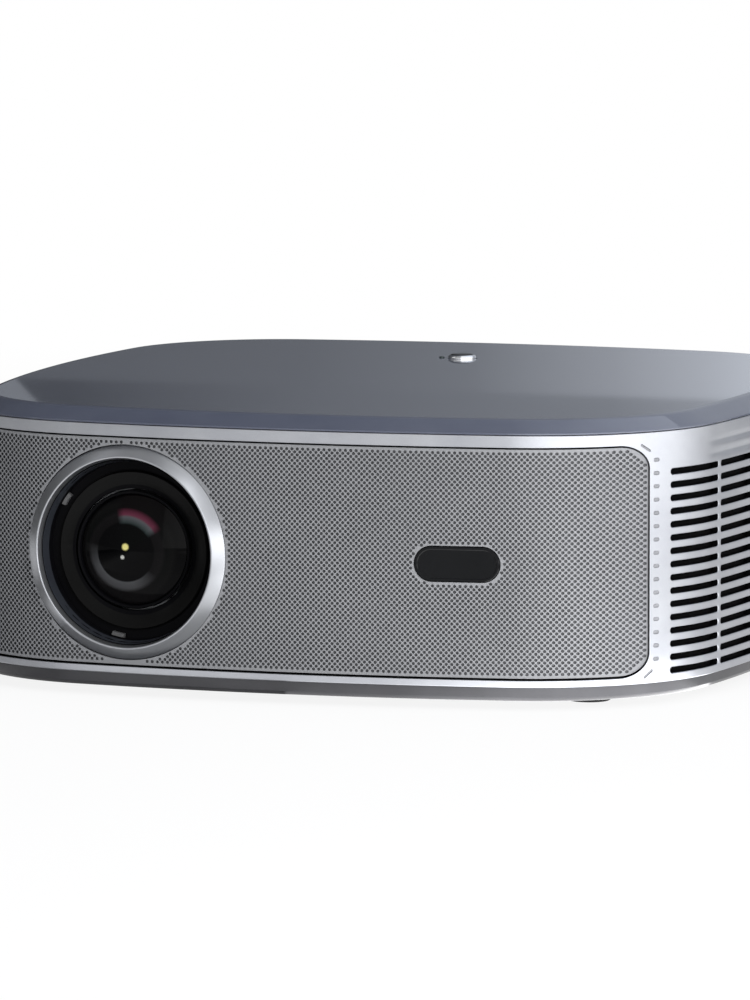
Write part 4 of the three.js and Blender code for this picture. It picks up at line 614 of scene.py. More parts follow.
def make_grille(paint, shade_in_holes):
    shell = Shell()
    x_edge = OPENING_X - GRILLE_GAP
    z_low, z_high = OPENING_Z0 + GRILLE_GAP, OPENING_Z1 - GRILLE_GAP
    radius = OPENING_RADIUS - GRILLE_GAP
    half = np.array([HOLE_PITCH_X, HOLE_PITCH_Z]) / 2
    middle = np.array([0.0, (z_low + z_high) / 2])
    pane_x, pane_z = WINDOW_WIDTH / 2 + PIECE_GAP, WINDOW_HEIGHT / 2 + PIECE_GAP
    bezel = BEZEL_RADIUS + PIECE_GAP
    # The bezel's ring stands square to the curved front, so its hole is a little narrower in x
    bezel_x = bezel * math.cos(math.asin(LENS_X / FACE_RADIUS))

    def on_panel(points, margin):
        """True on the sheet, at least a margin away from its outlines."""
        keep = in_rounded(points, -x_edge + margin, x_edge - margin, z_low + margin, z_high - margin,
                          max(radius - margin, 0.1))
        keep &= np.hypot((points[:, 0] - LENS_X) * bezel / bezel_x, points[:, 1] - LENS_Z) > bezel + margin
        wide, tall = pane_x + margin - 1e-3, pane_z + margin - 1e-3
        pane = (WINDOW_X - wide, WINDOW_X + wide, LENS_Z - tall, LENS_Z + tall, tall - 1e-4)
        keep &= ~in_rounded(points, *pane)
        return keep

    def on_front(flat):
        y, outward = front_surface(flat[:, 0], GRILLE_INSET)
        normals = np.column_stack([outward, np.zeros(len(flat))])
        return np.column_stack([flat[:, 0], y, flat[:, 1]]), normals

    columns = int(x_edge / half[0]) + 1
    rows = int((z_high - z_low) / 2 / half[1]) + 1
    cells = np.array([(i, j) for i in range(-columns, columns + 1) for j in range(-rows, rows + 1)
                      if (i + j) % 2 == 0])
    centres = middle + cells * half
    whole = on_panel(centres, HOLE_RADIUS + HOLE_MARGIN)
    full = np.logical_and.reduce([on_panel(centres + np.array(step) * half, 0.15) for step in RHOMBUS])
    # Holes near an edge have no full cell around them, and are cut out of the plain margin
    edge_centres = centres[whole & ~full]
    cells, centres = cells[whole & full], centres[whole & full]

    # Corners of the cells, shared between neighbours
    numbers, corner_places, cell_corners = {}, [], []
    for cell, centre in zip(cells, centres):
        keys = [(cell[0] + i, cell[1] + j) for i, j in RHOMBUS]
        for key, step in zip(keys, RHOMBUS):
            if key not in numbers:
                numbers[key] = len(numbers)
                corner_places.append(centre + np.array(step) * half)
        cell_corners.append([numbers[key] for key in keys])
    corner_places = np.array(corner_places)
    corner_ids = shell.add(*on_front(corner_places))
    hexagon = circle(HOLE_RADIUS, HOLE_SIDES, 0.5)

    def add_holes(middles):
        """Rims, walls and bottoms of blind holes. Walls and bottoms have the darker grey, painted shade in
        the holes.
        """
        flat = (middles[:, None, :] + hexagon[None]).reshape(-1, 2)
        points, normals = on_front(flat)
        rims = shell.add(points, normals).reshape(-1, HOLE_SIDES)
        deeps = shell.add(points + np.array([0, HOLE_DEPTH, 0])).reshape(-1, HOLE_SIDES)
        for rim, deep in zip(rims, deeps):
            shell.band(rim, deep, slot=1)
            shell.face(deep, slot=1)
        return flat.reshape(-1, HOLE_SIDES, 2), rims

    _, rim_ids = add_holes(centres)
    edge_rims, edge_rim_ids = add_holes(edge_centres)
    for corners, rim in zip(cell_corners, rim_ids):
        for triangle in np.concatenate([corner_ids[corners], rim])[CELL_FACES]:
            shell.face(triangle, plain=False)

    # The plain margin lies between the outermost cells and the outlines, and the edge holes are cut from it
    uses = Counter(frozenset(pair) for corners in cell_corners
                   for pair in zip(corners, corners[1:] + corners[:1]))
    stairs = [tuple(pair) for pair, count in uses.items() if count == 1]
    used = sorted({k for pair in stairs for k in pair})
    order = {k: n for n, k in enumerate(used)}
    outline = rounded_rectangle(-x_edge, x_edge, z_low, z_high, radius, 3.0, 8)
    lens_hole = circle(1.0, 96) * np.array([bezel_x, bezel]) + np.array([LENS_X, LENS_Z])
    pane_hole = pill_outline(WINDOW_X, LENS_Z, 2 * pane_x, 2 * pane_z, 2.0, 10)
    loops = [outline, lens_hole, pane_hole]
    loop_ids = shell.add(*on_front(np.concatenate(loops)))
    cell_set = {tuple(cell) for cell in cells}

    def in_margin(middles):
        to_hole = np.linalg.norm(middles[:, None] - edge_centres[None], axis=2).min(1)
        keep = on_panel(middles, 0.0) & (to_hole > HOLE_RADIUS * math.cos(math.pi / HOLE_SIDES) - 1e-4)
        u, v = ((middles - middle) / half).T
        a, b = np.round((u + v) / 2).astype(int), np.round((u - v) / 2).astype(int)
        return keep & np.array([cell not in cell_set for cell in zip(a + b, a - b)])

    all_ids = np.concatenate([loop_ids, edge_rim_ids.ravel(), corner_ids[used]])
    ties = [(order[a], order[b]) for a, b in stairs]
    for triangle in triangulate(loops + list(edge_rims), corner_places[used], in_margin, ties):
        shell.face(all_ids[triangle], plain=False)

    # Edges of the sheet and its back
    spread = np.array([(x, z) for x in np.arange(-x_edge, x_edge, BACK_STEP)
                       for z in np.arange(z_low, z_high, BACK_STEP)])
    spread = spread[on_panel(spread, 1.0)]
    back_ids = [shell.add(on_front(flat)[0] + np.array([0, GRILLE_SHEET, 0])) for flat in [*loops, spread]]
    front_ids = split(loop_ids, loops)
    shell.band(back_ids[0], front_ids[0])
    for k in (1, 2):
        shell.band(front_ids[k], back_ids[k])
    back = np.concatenate(back_ids)
    for triangle in triangulate(loops, spread, lambda middles: on_panel(middles, 0.0)):
        shell.face(back[triangle[::-1]])
    new_piece("grille_sheet", shell, [paint, shade_in_holes], replaces=["front_grille"],
              merge=False)


# Turned pieces

def about_z(points, lean):
    c, s = math.cos(lean), math.sin(lean)
    return points @ np.array([[c, s, 0], [-s, c, 0], [0, 0, 1]])


def turned(profile, steps=96, looped=True, centre=(0, 0, 0), tilt=0.0, slots=None):
    """A shell turned about an axis along Y through a centre, from (radius, y) corners, or (radius, y, share)
    ones whose rings take only a share of the tilt about Z."""
    shell = Shell()
    rings = []
    for radius, y, *share in profile:
        flat = np.zeros((1, 2)) if radius == 0 else circle(radius, steps)
        points = np.column_stack([flat[:, 0], np.full(len(flat), y), flat[:, 1]])
        rings.append(shell.add(about_z(points, tilt * (share[0] if share else 1)) + np.array(centre)))
    for k, (low, high) in enumerate(zip(rings, rings[1:] + rings[:1] if looped else rings[1:])):
        slot = slots[k] if slots else 0
        if len(low) == 1:
            shell.fan(high, low[0], slot=slot)
        elif len(high) == 1:
            shell.fan(low, high[0], slot=slot)
        else:
            shell.band(low, high, slot=slot)
    return shell


def arc_profile(centre, radius, start, end, count):
    """(radius, y) points of a round corner, angles in degrees."""
    angles = np.radians(np.linspace(start, end, count))
    return [(centre[0] + radius * math.cos(a), centre[1] + radius * math.sin(a)) for a in angles]


# Colours and materials

def linear(red, green, blue):
    def channel(value):
        value /= 255
        return value / 12.92 if value <= 0.04045 else ((value + 0.055) / 1.055) ** 2.4
    return channel(red), channel(green), channel(blue), 1.0


def painted(*stops):
    """Stops of a ramp, from (place, red, green and blue up to 255) pairs."""
    return [(spot, linear(*colour)) for spot, colour in stops]


class Nodes:
    """Adds shader nodes. An input takes a plain value or another node's output."""

    def __init__(self, owner, clear=True):
        owner.use_nodes = True
        self.graph = owner.node_tree
        if clear:
            self.graph.nodes.clear()

    def set(self, node, inputs):
        for name, value in inputs.items():
            if isinstance(value, bpy.types.NodeSocket):
                self.graph.links.new(value, node.inputs[name])
            else:
                node.inputs[name].default_value = value

    def add(self, kind, inputs, out=0, **settings):
        """Adds a node and returns the output asked for, or none if it has no outputs."""
        node = self.graph.nodes.new("ShaderNode" + kind)
        for name, value in settings.items():
            setattr(node, name, value)
        self.set(node, inputs)
        return node.outputs[out] if node.outputs else None

    def ramp(self, value, stops):
        out = self.add("ValToRGB", {"Fac": value})
        elements = out.node.color_ramp.elements
        for k, (spot, colour) in enumerate(stops):
            element = elements[k] if k < 2 else elements.new(spot)
            element.position = spot
            element.color = colour
        return out

    def remap(self, value, start, end, low=0.0, high=1.0):
        return self.add("MapRange", {"Value": value, "From Min": start, "From Max": end, "To Min": low,
                                     "To Max": high})

    def where(self):
        return self.add("TexCoord", {}, "Object")


def surface(name, dark, light, roughness, metallic=0.0, scale=60.0, spread=0.06, bump=0.0, bump_scale=900.0,
            coat=0.0, coat_roughness=0.05, specular=0.5, flakes=0.0):
    """A material whose colour and roughness drift softly between two values, with fine grain as bump."""
    material = bpy.data.materials.new(name)
    tree = Nodes(material, clear=False)
    where = tree.where()

    def noise(size, detail):
        return tree.add("TexNoise", {"Vector": where, "Scale": size, "Detail": detail})

    drift = noise(scale, 4)
    colour = tree.ramp(drift, painted((0.3, dark), (0.7, light)))
    if flakes:
        brighten = tree.remap(noise(6000, 2), 0.3, 0.7, 1 - flakes, 1 + flakes)
        colour = tree.add("VectorMath", {"Vector": colour, "Scale": brighten}, operation="SCALE")
    shine = tree.remap(drift, 0, 1, max(roughness - spread, 0.02), roughness + spread)
    shader = tree.graph.nodes["Principled BSDF"]
    tree.set(shader, {"Base Color": colour, "Roughness": shine, "Metallic": metallic,
                      "Specular IOR Level": specular, "Coat Weight": coat, "Coat Roughness": coat_roughness})
    if bump:
        lift = tree.add("Bump", {"Height": noise(bump_scale, 3), "Strength": bump, "Distance": 0.0002})
        tree.set(shader, {"Normal": lift})
    return material


paint_silver = surface("paint_silver", (158, 160, 166), (168, 170, 175), 0.34, 0.85, bump=0.02, flakes=0.05)
paint_cover = surface("paint_cover", (74, 79, 96), (80, 85, 101), 0.4, 0.2, spread=0.03, flakes=0.04,
                      coat=1.0, coat_roughness=0.03, specular=0.2)
paint_grille = surface("paint_grille", (132, 133, 136), (140, 141, 144), 0.6, 0.3, scale=25, bump=0.05)
# Grey that paints the shade in the frame's pits
pit_shade_grey = surface("pit_shade_grey", (128, 129, 133), (138, 139, 143), 0.5, 0.3)
# Darker grey that paints the shade inside the grille's holes
hole_shade_grey = surface("hole_shade_grey", (84, 85, 88), (94, 95, 98), 0.6, 0.2)
bezel_metal = surface("bezel_metal", (150, 152, 157), (160, 162, 166), 0.3, 0.9, spread=0.03)
plastic_base = surface("plastic_base", (66, 66, 69), (73, 73, 76), 0.3, 0.6, bump=0.1, bump_scale=2500)
plastic_black = surface("plastic_black", (20, 20, 22), (27, 27, 29), 0.45, bump=0.2, bump_scale=2500)
# Near black: the vent screens' and carrier's own dark colour, darkened as painted shade behind the slots, and
# painted shade on the frame's walls
vent_black_and_shade = surface("vent_black_and_shade", (3, 3, 4), (6, 6, 7), 0.7, bump=0.2, bump_scale=2500, specular=0.04)
satin_black = surface("satin_black", (7, 7, 9), (10, 10, 12), 0.35, bump=0.05, specular=0.025)
bore_navy = surface("bore_navy", (38, 40, 46), (43, 46, 51), 0.4, bump=0.05, specular=0.12)
ring_grey = surface("ring_grey", (10, 10, 10), (14, 14, 14), 0.3, bump=0.05, specular=0.06)
lug_grey = surface("lug_grey", (72, 72, 73), (82, 82, 83), 0.4, bump=0.1)
gloss_black = surface("gloss_black", (16, 17, 19), (20, 21, 23), 0.12, specular=0.12)
rubber = surface("rubber", (34, 34, 35), (42, 42, 43), 0.85, bump=0.5, bump_scale=1500)
steel = surface("steel", (176, 178, 180), (190, 192, 194), 0.28, 1.0, bump=0.05)
brass = surface("brass", (176, 150, 88), (190, 164, 102), 0.3, 1.0)
cast_metal = surface("cast_metal", (120, 122, 125), (136, 138, 140), 0.5, 0.9, bump=0.4, bump_scale=700)
aluminium = surface("aluminium", (190, 192, 195), (204, 206, 208), 0.35, 1.0, bump=0.1)
copper = surface("copper", (184, 112, 72), (200, 128, 88), 0.3, 1.0)
board_green = surface("board_green", (26, 84, 54), (36, 98, 64), 0.45, scale=300, bump=0.1)
cone_grey = surface("cone_grey", (44, 44, 47), (54, 54, 57), 0.8, bump=0.4, bump_scale=1200)
chrome = surface("chrome", (222, 223, 226), (232, 233, 236), 0.1, 1.0, spread=0.02)
light_dark = surface("light_dark", (30, 42, 42), (38, 50, 50), 0.2)
lens_coated = surface("lens_coated", (10, 9, 13), (14, 12, 18), 0.04, spread=0.01, specular=0.08)


def make_lens_front():
    """The coated front lens. Its colour paints the rings and dark pupil of the lenses behind it with their
    shade, a lit crescent below the pupil, a reflection on the coating and two glints, all painted light and
    shade about a middle that lies a little off the lens's own."""
    material = surface("lens_front", (8, 8, 9), (10, 10, 11), 0.05, spread=0.02, specular=0.04)
    tree = Nodes(material, clear=False)
    shader = tree.graph.nodes["Principled BSDF"]
    tree.graph.nodes.remove(shader.inputs["Base Color"].links[0].from_node)
    where = tree.where()

    def flat_distance(x, z, unit):
        """Offset from a point of the lens, seen along its axis, in units, and how long it is."""
        moved = tree.add("VectorMath", {0: where, 1: (x * MM, 0, z * MM)}, operation="SUBTRACT")
        scale = (1 / (unit * MM), 0, 1 / (unit * MM))
        offset = tree.add("VectorMath", {0: moved, 1: scale}, operation="MULTIPLY")
        return offset, tree.add("VectorMath", {0: offset}, "Value", operation="LENGTH")

    def over(below, above, factor):
        return tree.add("Mix", {"Factor": factor, "A": below, "B": above}, "Result", data_type="RGBA")

    def towards(offset, reach, angle, start, end):
        """1 in a direction from the middle, fading to 0 to either side, between two cosines."""
        heading = (math.cos(math.radians(angle)), 0, math.sin(math.radians(angle)))
        along = tree.add("VectorMath", {0: offset, 1: heading}, "Value", operation="DOT_PRODUCT")
        cosine = tree.add("Math", {0: along, 1: reach}, operation="DIVIDE")
        return tree.remap(cosine, start, end)

    middle_x, middle_z = LENS_X - 2.3, LENS_Z - 0.7
    offset, reach = flat_distance(middle_x, middle_z, 20.0)
    # Painted rings and dark pupil of the lenses behind, with their painted shade
    plain = tree.ramp(reach, painted(
        (0.0, (4, 4, 5)), (1.0, (7, 7, 8)), (0.52, (4, 4, 5)), (0.55, (14, 13, 14)), (0.68, (18, 17, 18)),
        (0.74, (8, 9, 9)), (0.85, (14, 14, 14)), (0.93, (6, 6, 7))))
    # Painted lit crescent of an inner ring, below the pupil
    painted_lit_crescent = tree.ramp(reach, painted(
        (0.52, (4, 4, 5)), (0.72, (14, 13, 14)), (0.545, (74, 75, 77)), (0.65, (66, 66, 68))))
    colour = over(plain, painted_lit_crescent, towards(offset, reach, -114, 0.2, 0.8))
    # Painted reflection on the coating, grey and magenta, to the upper right of the pupil
    painted_coating_reflection = tree.ramp(reach, painted(
        (0.49, (4, 5, 5)), (0.78, (9, 7, 8)), (0.53, (44, 52, 52)), (0.62, (78, 79, 82)),
        (0.66, (94, 46, 62)), (0.72, (74, 33, 47))))
    colour = over(colour, painted_coating_reflection, towards(offset, reach, 68, 0.8, 0.9))
    # Two painted glints, yellow and white
    for x, z, radius, tint in ((0.2, 1.9, 1.5, (222, 212, 134)), (-0.9, -1.8, 0.9, (190, 190, 184))):
        _, glint_reach = flat_distance(middle_x + x, middle_z + z, radius)
        spot = tree.ramp(glint_reach, painted((0.55, (255, 255, 255)), (1.0, (0, 0, 0))))
        colour = over(colour, tree.ramp(glint_reach, painted((0.0, tint), (1.0, tint))), spot)
    tree.set(shader, {"Base Color": colour})
    return material


lens_front = make_lens_front()


FINISHES = {
    "base_plastic": plastic_base, "frame_paint": paint_silver, "cover_paint": paint_cover,
    "grille_paint": paint_grille, "black_plastic": plastic_black, "gloss_black": gloss_black,
    "rubber": rubber, "steel": steel, "brass": brass, "bezel_metal": bezel_metal, "lens_glass": lens_coated,
    "cast_metal": cast_metal, "bare_aluminium": aluminium, "copper": copper, "board_green": board_green,
    "cone_grey": cone_grey, "button_chrome": chrome,
}


def dress_cad_nodes():
    """Each CAD node that stays in view gets its slot's procedural material."""
    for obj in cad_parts.values():
        for k in range(len(obj.material_slots)):
            name = obj.material_slots[k].material.name.split(".")[0]
            obj.material_slots[k].material = FINISHES[name]
    # The vent screens and the front carrier take the near black, darkened further as painted shade behind the
    # slots and the grille
    for name in ("vent_screen_left", "vent_screen_right", "front_carrier"):
        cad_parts[name].material_slots[0].material = vent_black_and_shade


dress_cad_nodes()

make_frame_shell(paint_silver, vent_black_and_shade, pit_shade_grey)
make_cover(paint_cover)
make_base_skirt(plastic_base)
make_grille(paint_grille, hole_shade_grey)

# Lens group, on the front surface's own place and direction
lens_y = float(front_surface(np.array([LENS_X]), 0.0)[0][0])
lens_tilt = math.asin(LENS_X / FACE_RADIUS)
lens_at = (LENS_X, lens_y, LENS_Z)


def add_lugs(shell):
    """Three small lugs at the foot of the bore's wall."""
    profile = ((30.0, 9.3), (30.1, 7.6), (30.4, 7.3), (31.3, 7.2), (31.6, 9.3))
    for middle in (146, 26, -101):
        rows = []
        for angle in np.radians(middle + np.linspace(-4.2, 4.2, 7)):
            corners = np.array([(r * math.cos(angle), y, r * math.sin(angle)) for r, y in profile])
            rows.append(shell.add(about_z(corners, lens_tilt * 0.7) + np.array(lens_at)))
        for low, high in zip(rows, rows[1:]):
            shell.band(low, high, slot=3)
        shell.face(rows[0], slot=3)
        shell.face(rows[-1][::-1], slot=3)


def make_lens():
    # The bezel is a cone that rises to a lip round the bore
    lip = BEZEL_BORE + 1.0
    bezel = turned(
        [(BEZEL_RADIUS, 2.6), (BEZEL_RADIUS, 1.8), (BEZEL_RADIUS - 0.15, 1.6), (lip + 0.5, -1.0)]
        + arc_profile((lip + 0.05, -0.75), 0.5, -55, -160, 6)
        + [(BEZEL_BORE + 0.05, 0.9), (BEZEL_BORE, 1.1), (BEZEL_BORE, 2.6)],
        144, centre=lens_at, tilt=lens_tilt)
    new_piece("bezel_ring", bezel, [bezel_metal], replaces=["lens_bezel"], smooth_angle=24)

    # The bore's wall leans with the bezel, and the steps behind it turn towards the lens's own axis
    outer = BEZEL_BORE - 0.1
    shroud = turned(
        [(outer, 1.3), (outer - 0.3, 1.1), (outer - 1.0, 5.9, 0.8), (outer - 1.3, 8.9, 0.7), (28.3, 9.2, 0.7),
         (28.1, 8.2, 0.6), (27.7, 7.9, 0.6), (27.3, 8.0, 0.6), (23.2, 9.6, 0.3), (22.6, 10.0, 0.1),
         (21.7, 10.3, 0.0), (21.6, 10.9, 0.0), (21.6, 12.4, 0.0), (23.6, 12.6, 0.0), (29.0, 10.2, 0.5),
         (outer, 9.6, 0.7)],
        144, centre=lens_at, tilt=lens_tilt, slots=[0, 1, 0, 0, 0, 2, 2, 2] + [0] * 8)
    add_lugs(shroud)
    new_piece("lens_shroud", shroud, [satin_black, bore_navy, ring_grey, lug_grey],
              replaces=["lens_hood"], smooth_angle=24)

    barrel = turned(
        [(20.7, 9.5), (21.0, 9.8), (21.0, 38.0), (19.7, 38.0), (19.7, 18.3), (17.6, 18.3), (17.6, 16.2),
         (19.7, 16.2), (19.7, 10.4), (20.0, 9.7)], 96, centre=lens_at)
    new_piece("barrel_shell", barrel, [satin_black], "lens_barrel", ["lens_barrel"], 24)

    glass_radius, glass_back, glass_edge, crown = 19.4, 15.8, 11.0, 6.6
    dome = [(glass_radius * share, crown + (glass_edge - crown) * share ** 2)
            for share in (1 - k / 20 for k in range(21))]
    front = turned([(0, glass_back), (glass_radius, glass_back)] + dome, 96, looped=False, centre=lens_at)
    new_piece("front_element", front, [lens_front], "lens_barrel", ["front_lens"], 30)


make_lens()


def make_window():
    shell = Shell()
    outlines, rings = [], []
    for margin, inset in ((0.0, 2.4), (0.0, 0.85), (-0.25, 0.62), (-0.9, 0.62), (-1.15, 0.82)):
        flat = pill_outline(WINDOW_X, LENS_Z, WINDOW_WIDTH + 2 * margin, WINDOW_HEIGHT + 2 * margin, 1.5, 12)
        y, _ = front_surface(flat[:, 0], inset)
        outlines.append(flat)
        rings.append(shell.add(np.column_stack([flat[:, 0], y, flat[:, 1]])))
    for low, high in zip(rings, rings[1:]):
        shell.band(low, high)
    # The pane inside the rim and the back follow the front in strips
    for k in (-1, 0):
        for triangle in triangulate([outlines[k]], [], lambda middles: np.ones(len(middles), bool)):
            shell.face(rings[k][triangle])
    new_piece("window_pane", shell, [gloss_black], replaces=["sensor_window"], smooth_angle=24)


make_window()


# Button, light and feet


def upright(profile, centre, steps=64, slots=None):
    """A solid turned about a vertical axis from (radius, z) corners, closed at both ends on the axis."""
    shell = turned(profile, steps, looped=False, slots=slots)
    for points in shell.points:
        points[:, [1, 2]] = points[:, [2, 1]]
        points += np.array([centre[0], centre[1], 0])
    return shell


BUTTON_FOOT = BUTTON_RADIUS + 0.7
# The chrome cap's top is gloss black, a painted dark reflection on its top face
button = upright(
    [(0, 95.5), (1.7, 95.5), (1.7, 97.9), (BUTTON_FOOT, 97.9), (BUTTON_FOOT, 98.6), (BUTTON_RADIUS, 98.6),
     (BUTTON_RADIUS, 102.3), (5.1, 102.5), (4.85, 102.8), (4.5, 103.0), (4.35, 103.05), (4.1, 103.2),
     (3.7, 103.33), (3.2, 103.38), (0, 103.38)], (0.0, BUTTON_Y), slots=[0] * 10 + [1] * 4)
new_piece("button_cap", button, [chrome, gloss_black], "power_button", ["power_button"], 24)
light = upright([(0, 96), (1.4, 96), (1.4, 98.7), (LIGHT_RADIUS, 98.7), (LIGHT_RADIUS, 102.0), (0.85, 102.13),
                 (0.5, 102.19), (0, 102.2)], (LIGHT_X, BUTTON_Y), 32)
new_piece("light_dot", light, [light_dark], replaces=["status_light"], smooth_angle=24)
for end, sy in (("front", -1), ("rear", 1)):
    for side, sx in (("left", -1), ("right", 1)):
        label = end + "_" + side
        pad = upright([(0, 0), (7.1, 0), (7.6, 0.25), (8.0, 0.9), (8.0, 4.2), (0, 4.2)],
                      (sx * FOOT_AT, sy * FOOT_AT))
        new_piece("pad_" + label, pad, [rubber], replaces=["foot_" + label], smooth_angle=24)


# Studio: floor, cards that only reflections see, lamps, world and camera

def add_seen(tree):
    """1 for camera, glossy and transmission rays."""
    rays = tree.add("LightPath", {}).node.outputs
    first = tree.add("Math", {0: rays["Is Camera Ray"], 1: rays["Is Glossy Ray"]}, operation="MAXIMUM")
    return tree.add("Math", {0: first, 1: rays["Is Transmission Ray"]}, operation="MAXIMUM")


def make_world():
    world = bpy.data.worlds.new("studio")
    bpy.context.scene.world = world
    tree = Nodes(world)
    lit = tree.add("Background", {"Color": (0.92, 0.96, 1.0, 1), "Strength": 0.3})
    white = tree.add("Background", {"Color": (1, 1, 1, 1), "Strength": 1.0})
    tree.add("OutputWorld", {"Surface": tree.add("MixShader", {"Fac": add_seen(tree), 1: lit, 2: white})})


def studio_sheet(name, corners, material_name):
    """A sheet with four corners, and its material's nodes, still empty."""
    mesh = bpy.data.meshes.new(name)
    mesh.from_pydata(corners, [], [(0, 1, 2, 3)])
    sheet = bpy.data.objects.new(name, mesh)
    bpy.context.scene.collection.objects.link(sheet)
    material = bpy.data.materials.new(material_name)
    mesh.materials.append(material)
    return sheet, Nodes(material)


def standing(start, end, low, high):
    """Corners of an upright card between two places of the plan."""
    return [(*start, low), (*end, low), (*end, high), (*start, high)]


def level(x0, x1, y0, y1, z):
    """Corners of a level sheet."""
    return [(x0, y0, z), (x1, y0, z), (x1, y1, z), (x0, y1, z)]


def make_floor():
    reach = 30.0
    floor, tree = studio_sheet("floor", level(-reach, reach, -reach, reach, 0), "floor_pale")
    pale = tree.add("BsdfDiffuse", {"Color": (0.85, 0.85, 0.86, 1)})
    white = tree.add("Emission", {"Color": (1, 1, 1, 1), "Strength": 1.0})
    # The floor fades to plain white away from the object, and keeps its shadow near it
    far = tree.add("VectorMath", {0: tree.where()}, "Value", operation="LENGTH")
    fade = tree.remap(far, 0.4, 1.2, 0.88, 1.0)
    share = tree.add("Math", {0: add_seen(tree), 1: fade}, operation="MULTIPLY")
    tree.add("OutputMaterial", {"Surface": tree.add("MixShader", {"Fac": share, 1: pale, 2: white})})


def make_lamp(name, at, target, size, power):
    """A soft lamp that lights the object. The cards are what its glossy surfaces mirror."""
    data = bpy.data.lights.new(name, "AREA")
    data.shape = "RECTANGLE"
    data.size, data.size_y = size
    data.energy = power
    lamp = bpy.data.objects.new(name, data)
    lamp.location = at
    lamp.rotation_euler = (Vector(target) - Vector(at)).to_track_quat("-Z", "Y").to_euler()
    lamp.visible_camera = False
    lamp.visible_glossy = False
    bpy.context.scene.collection.objects.link(lamp)


def make_card(name, corners, levels, axis=0, tint=(1, 1, 1)):
    """A card that only reflections see. levels are (place in metres along the axis, brightness) pairs."""
    card, tree = studio_sheet(name, corners, name)
    start, end = levels[0][0], levels[-1][0]
    spot = tree.add("SeparateXYZ", {0: tree.where()}, axis)
    along = tree.remap(spot, start, end)
    brightest = max(brightness for _, brightness in levels)
    stops = [((at - start) / (end - start), (*(brightness / brightest * channel for channel in tint), 1))
             for at, brightness in levels]
    glow = tree.add("Emission", {"Color": tree.ramp(along, stops), "Strength": brightest})
    tree.add("OutputMaterial", {"Surface": glow})
    card.visible_camera = False
    card.visible_diffuse = False
    card.visible_transmission = False
    card.visible_shadow = False


def make_camera():
    back = Vector((math.sin(AZIMUTH) * math.cos(ELEVATION), -math.cos(AZIMUTH) * math.cos(ELEVATION),
                   math.sin(ELEVATION)))
    data = bpy.data.cameras.new("camera")
    data.sensor_width = 36
    data.lens = 329.57
    data.shift_x = -0.02763
    data.shift_y = -0.00055
    camera = bpy.data.objects.new("camera", data)
    camera.location = back * CAMERA_DISTANCE + Vector((0, 0, CAMERA_AIM_Z))
    camera.rotation_euler = (-back).to_track_quat("-Z", "Y").to_euler()
    bpy.context.scene.collection.objects.link(camera)
    bpy.context.scene.camera = camera


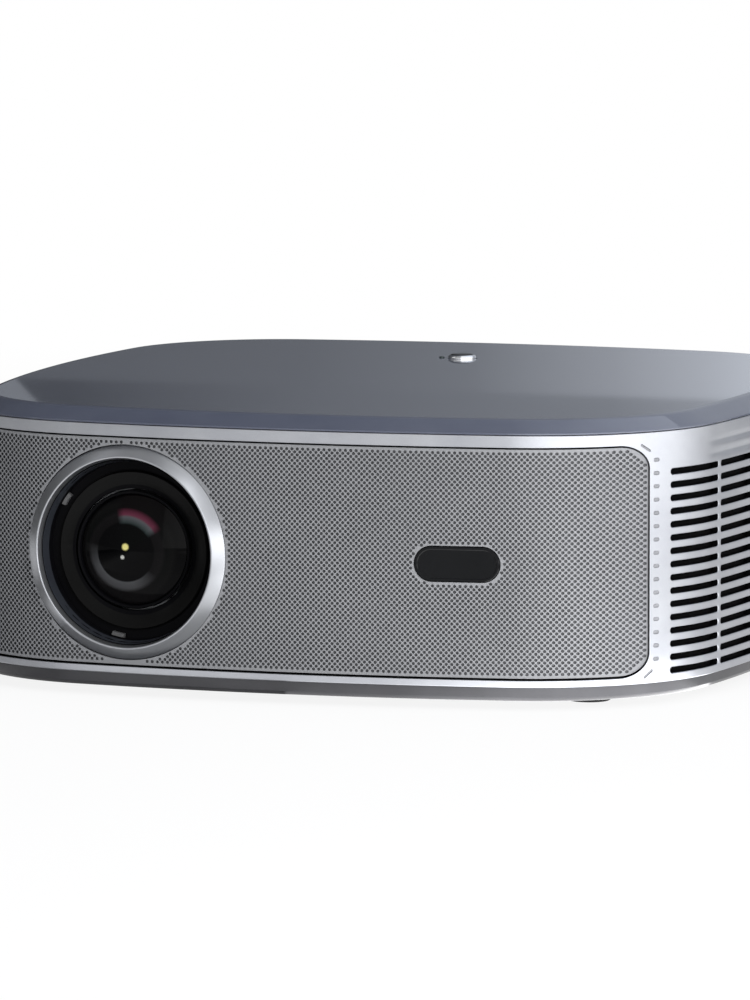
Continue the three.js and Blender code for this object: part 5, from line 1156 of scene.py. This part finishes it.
# Camera and cards, in metres. The rear cards meet at the line where their reflection on the cover changes
AZIMUTH = math.radians(17.1)
ELEVATION = math.radians(6.42)
CAMERA_DISTANCE = 3.33556
CAMERA_AIM_Z = 0.05694
REAR_Y = 0.75
REAR_LINE = 0.1853
FACET_Y = REAR_Y - 0.01
REAR = ((-2.0, REAR_Y), (1.5, REAR_Y))
COOL = (0.86, 0.91, 1.0)
CARDS = [
    ("rear_low", standing(*REAR, 0.0, 0.15), [(-0.5, 0.03), (-0.2, 0.23), (0.2, 0.65), (0.4, 0.3)], 0, COOL),
    ("rear", standing(*REAR, 0.15, REAR_LINE),
     [(-0.39, 0.15), (-0.276, 0.18), (-0.2, 0.25), (-0.133, 0.46), (-0.09, 0.66), (-0.06, 0.86)], 0, COOL),
    ("rear_high", standing(*REAR, REAR_LINE, 0.7),
     [(-0.39, 0.08), (-0.348, 0.12), (-0.276, 0.18), (-0.2, 0.23), (-0.133, 0.29), (-0.09, 0.42),
      (-0.06, 0.53)], 0, COOL),
    ("top", [(-2.2, 0.76, 0.68), (1.8, 0.76, 0.68), (1.8, -0.1, 1.5), (-2.2, -0.1, 1.5)],
     [(-0.6, 0.1), (-0.3, 0.18), (0.0, 0.68), (0.2, 1.2)], 0, COOL),
    ("facet",
     [(-0.8, FACET_Y, 0.15), (-0.446, FACET_Y, 0.15), (-0.386, FACET_Y, 0.21), (-0.8, FACET_Y, 0.21)],
     [(-0.8, 0.29), (-0.3, 0.29)], 0, COOL),
    ("above", level(-0.06, 0.3, -0.1, 0.25, 1.2), [(-0.06, 1.3), (0.3, 1.3)]),
    ("front_top", [(-0.8, -0.62, 0.6), (0.0, -0.62, 0.6), (0.0, -0.2, 1.4), (-0.8, -0.2, 1.4)],
     [(-0.8, 0.4), (0.0, 0.4)]),
    ("left", standing((-0.1, -0.6), (-0.95, -0.6), 0.0, 0.6), [(-0.95, 0.4), (-0.55, 0.6), (-0.1, 1.0)]),
    ("left_side", standing((-0.95, -0.6), (-0.75, 0.5), 0.0, 0.6),
     [(-0.6, 0.3), (-0.1, 0.32), (0.1, 0.1), (0.5, 0.08)], 1),
    ("right", standing((0.1, -0.9), (0.85, -0.32), 0.0, 0.22), [(0.1, 2.0), (0.3, 3.4), (0.85, 4.6)]),
    ("right_high", standing((0.1, -0.9), (0.42, -0.6525), 0.22, 1.0), [(0.1, 1.9), (0.3, 3.3), (0.42, 3.6)]),
    ("right_side", standing((0.85, -0.32), (0.6, 0.66), 0.0, 0.3),
     [(-0.32, 4.6), (0.05, 3.6), (0.25, 2.0), (0.45, 0.9), (0.66, 0.45)], 1),
    ("floor", level(-0.35, 0.6, -0.5, -0.205, 0.001),
     [(-0.3, 0.1), (-0.2, 0.7), (-0.16, 1.9), (-0.08, 1.6), (0.03, 1.1), (0.09, 1.1), (0.16, 2.4)]),
    ("floor_near", level(-0.25, 0.5, -0.205, -0.07, 0.001),
     [(-0.2, 0.15), (-0.165, 0.3), (-0.14, 1.1), (-0.108, 1.5), (-0.06, 1.5), (-0.012, 1.5), (0.035, 2.0),
      (0.082, 4.6), (0.17, 5.5), (0.24, 1.0)]),
    ("floor_close", level(-0.12, 0.0, -0.165, -0.1, 0.0015), [(-0.12, 0.45), (0.0, 0.45)]),
]

make_world()
make_floor()
make_lamp("key_right", (0.95, -0.85, 0.6), (0, 0, 0.05), (0.9, 0.7), 17)
make_lamp("soft_top", (0.2, -0.2, 1.6), (0, 0, 0), (1.2, 1.2), 9)
for card_name, *card_form in CARDS:
    make_card("card_" + card_name, *card_form)
make_camera()
bpy.context.scene.view_settings.view_transform = "Standard"
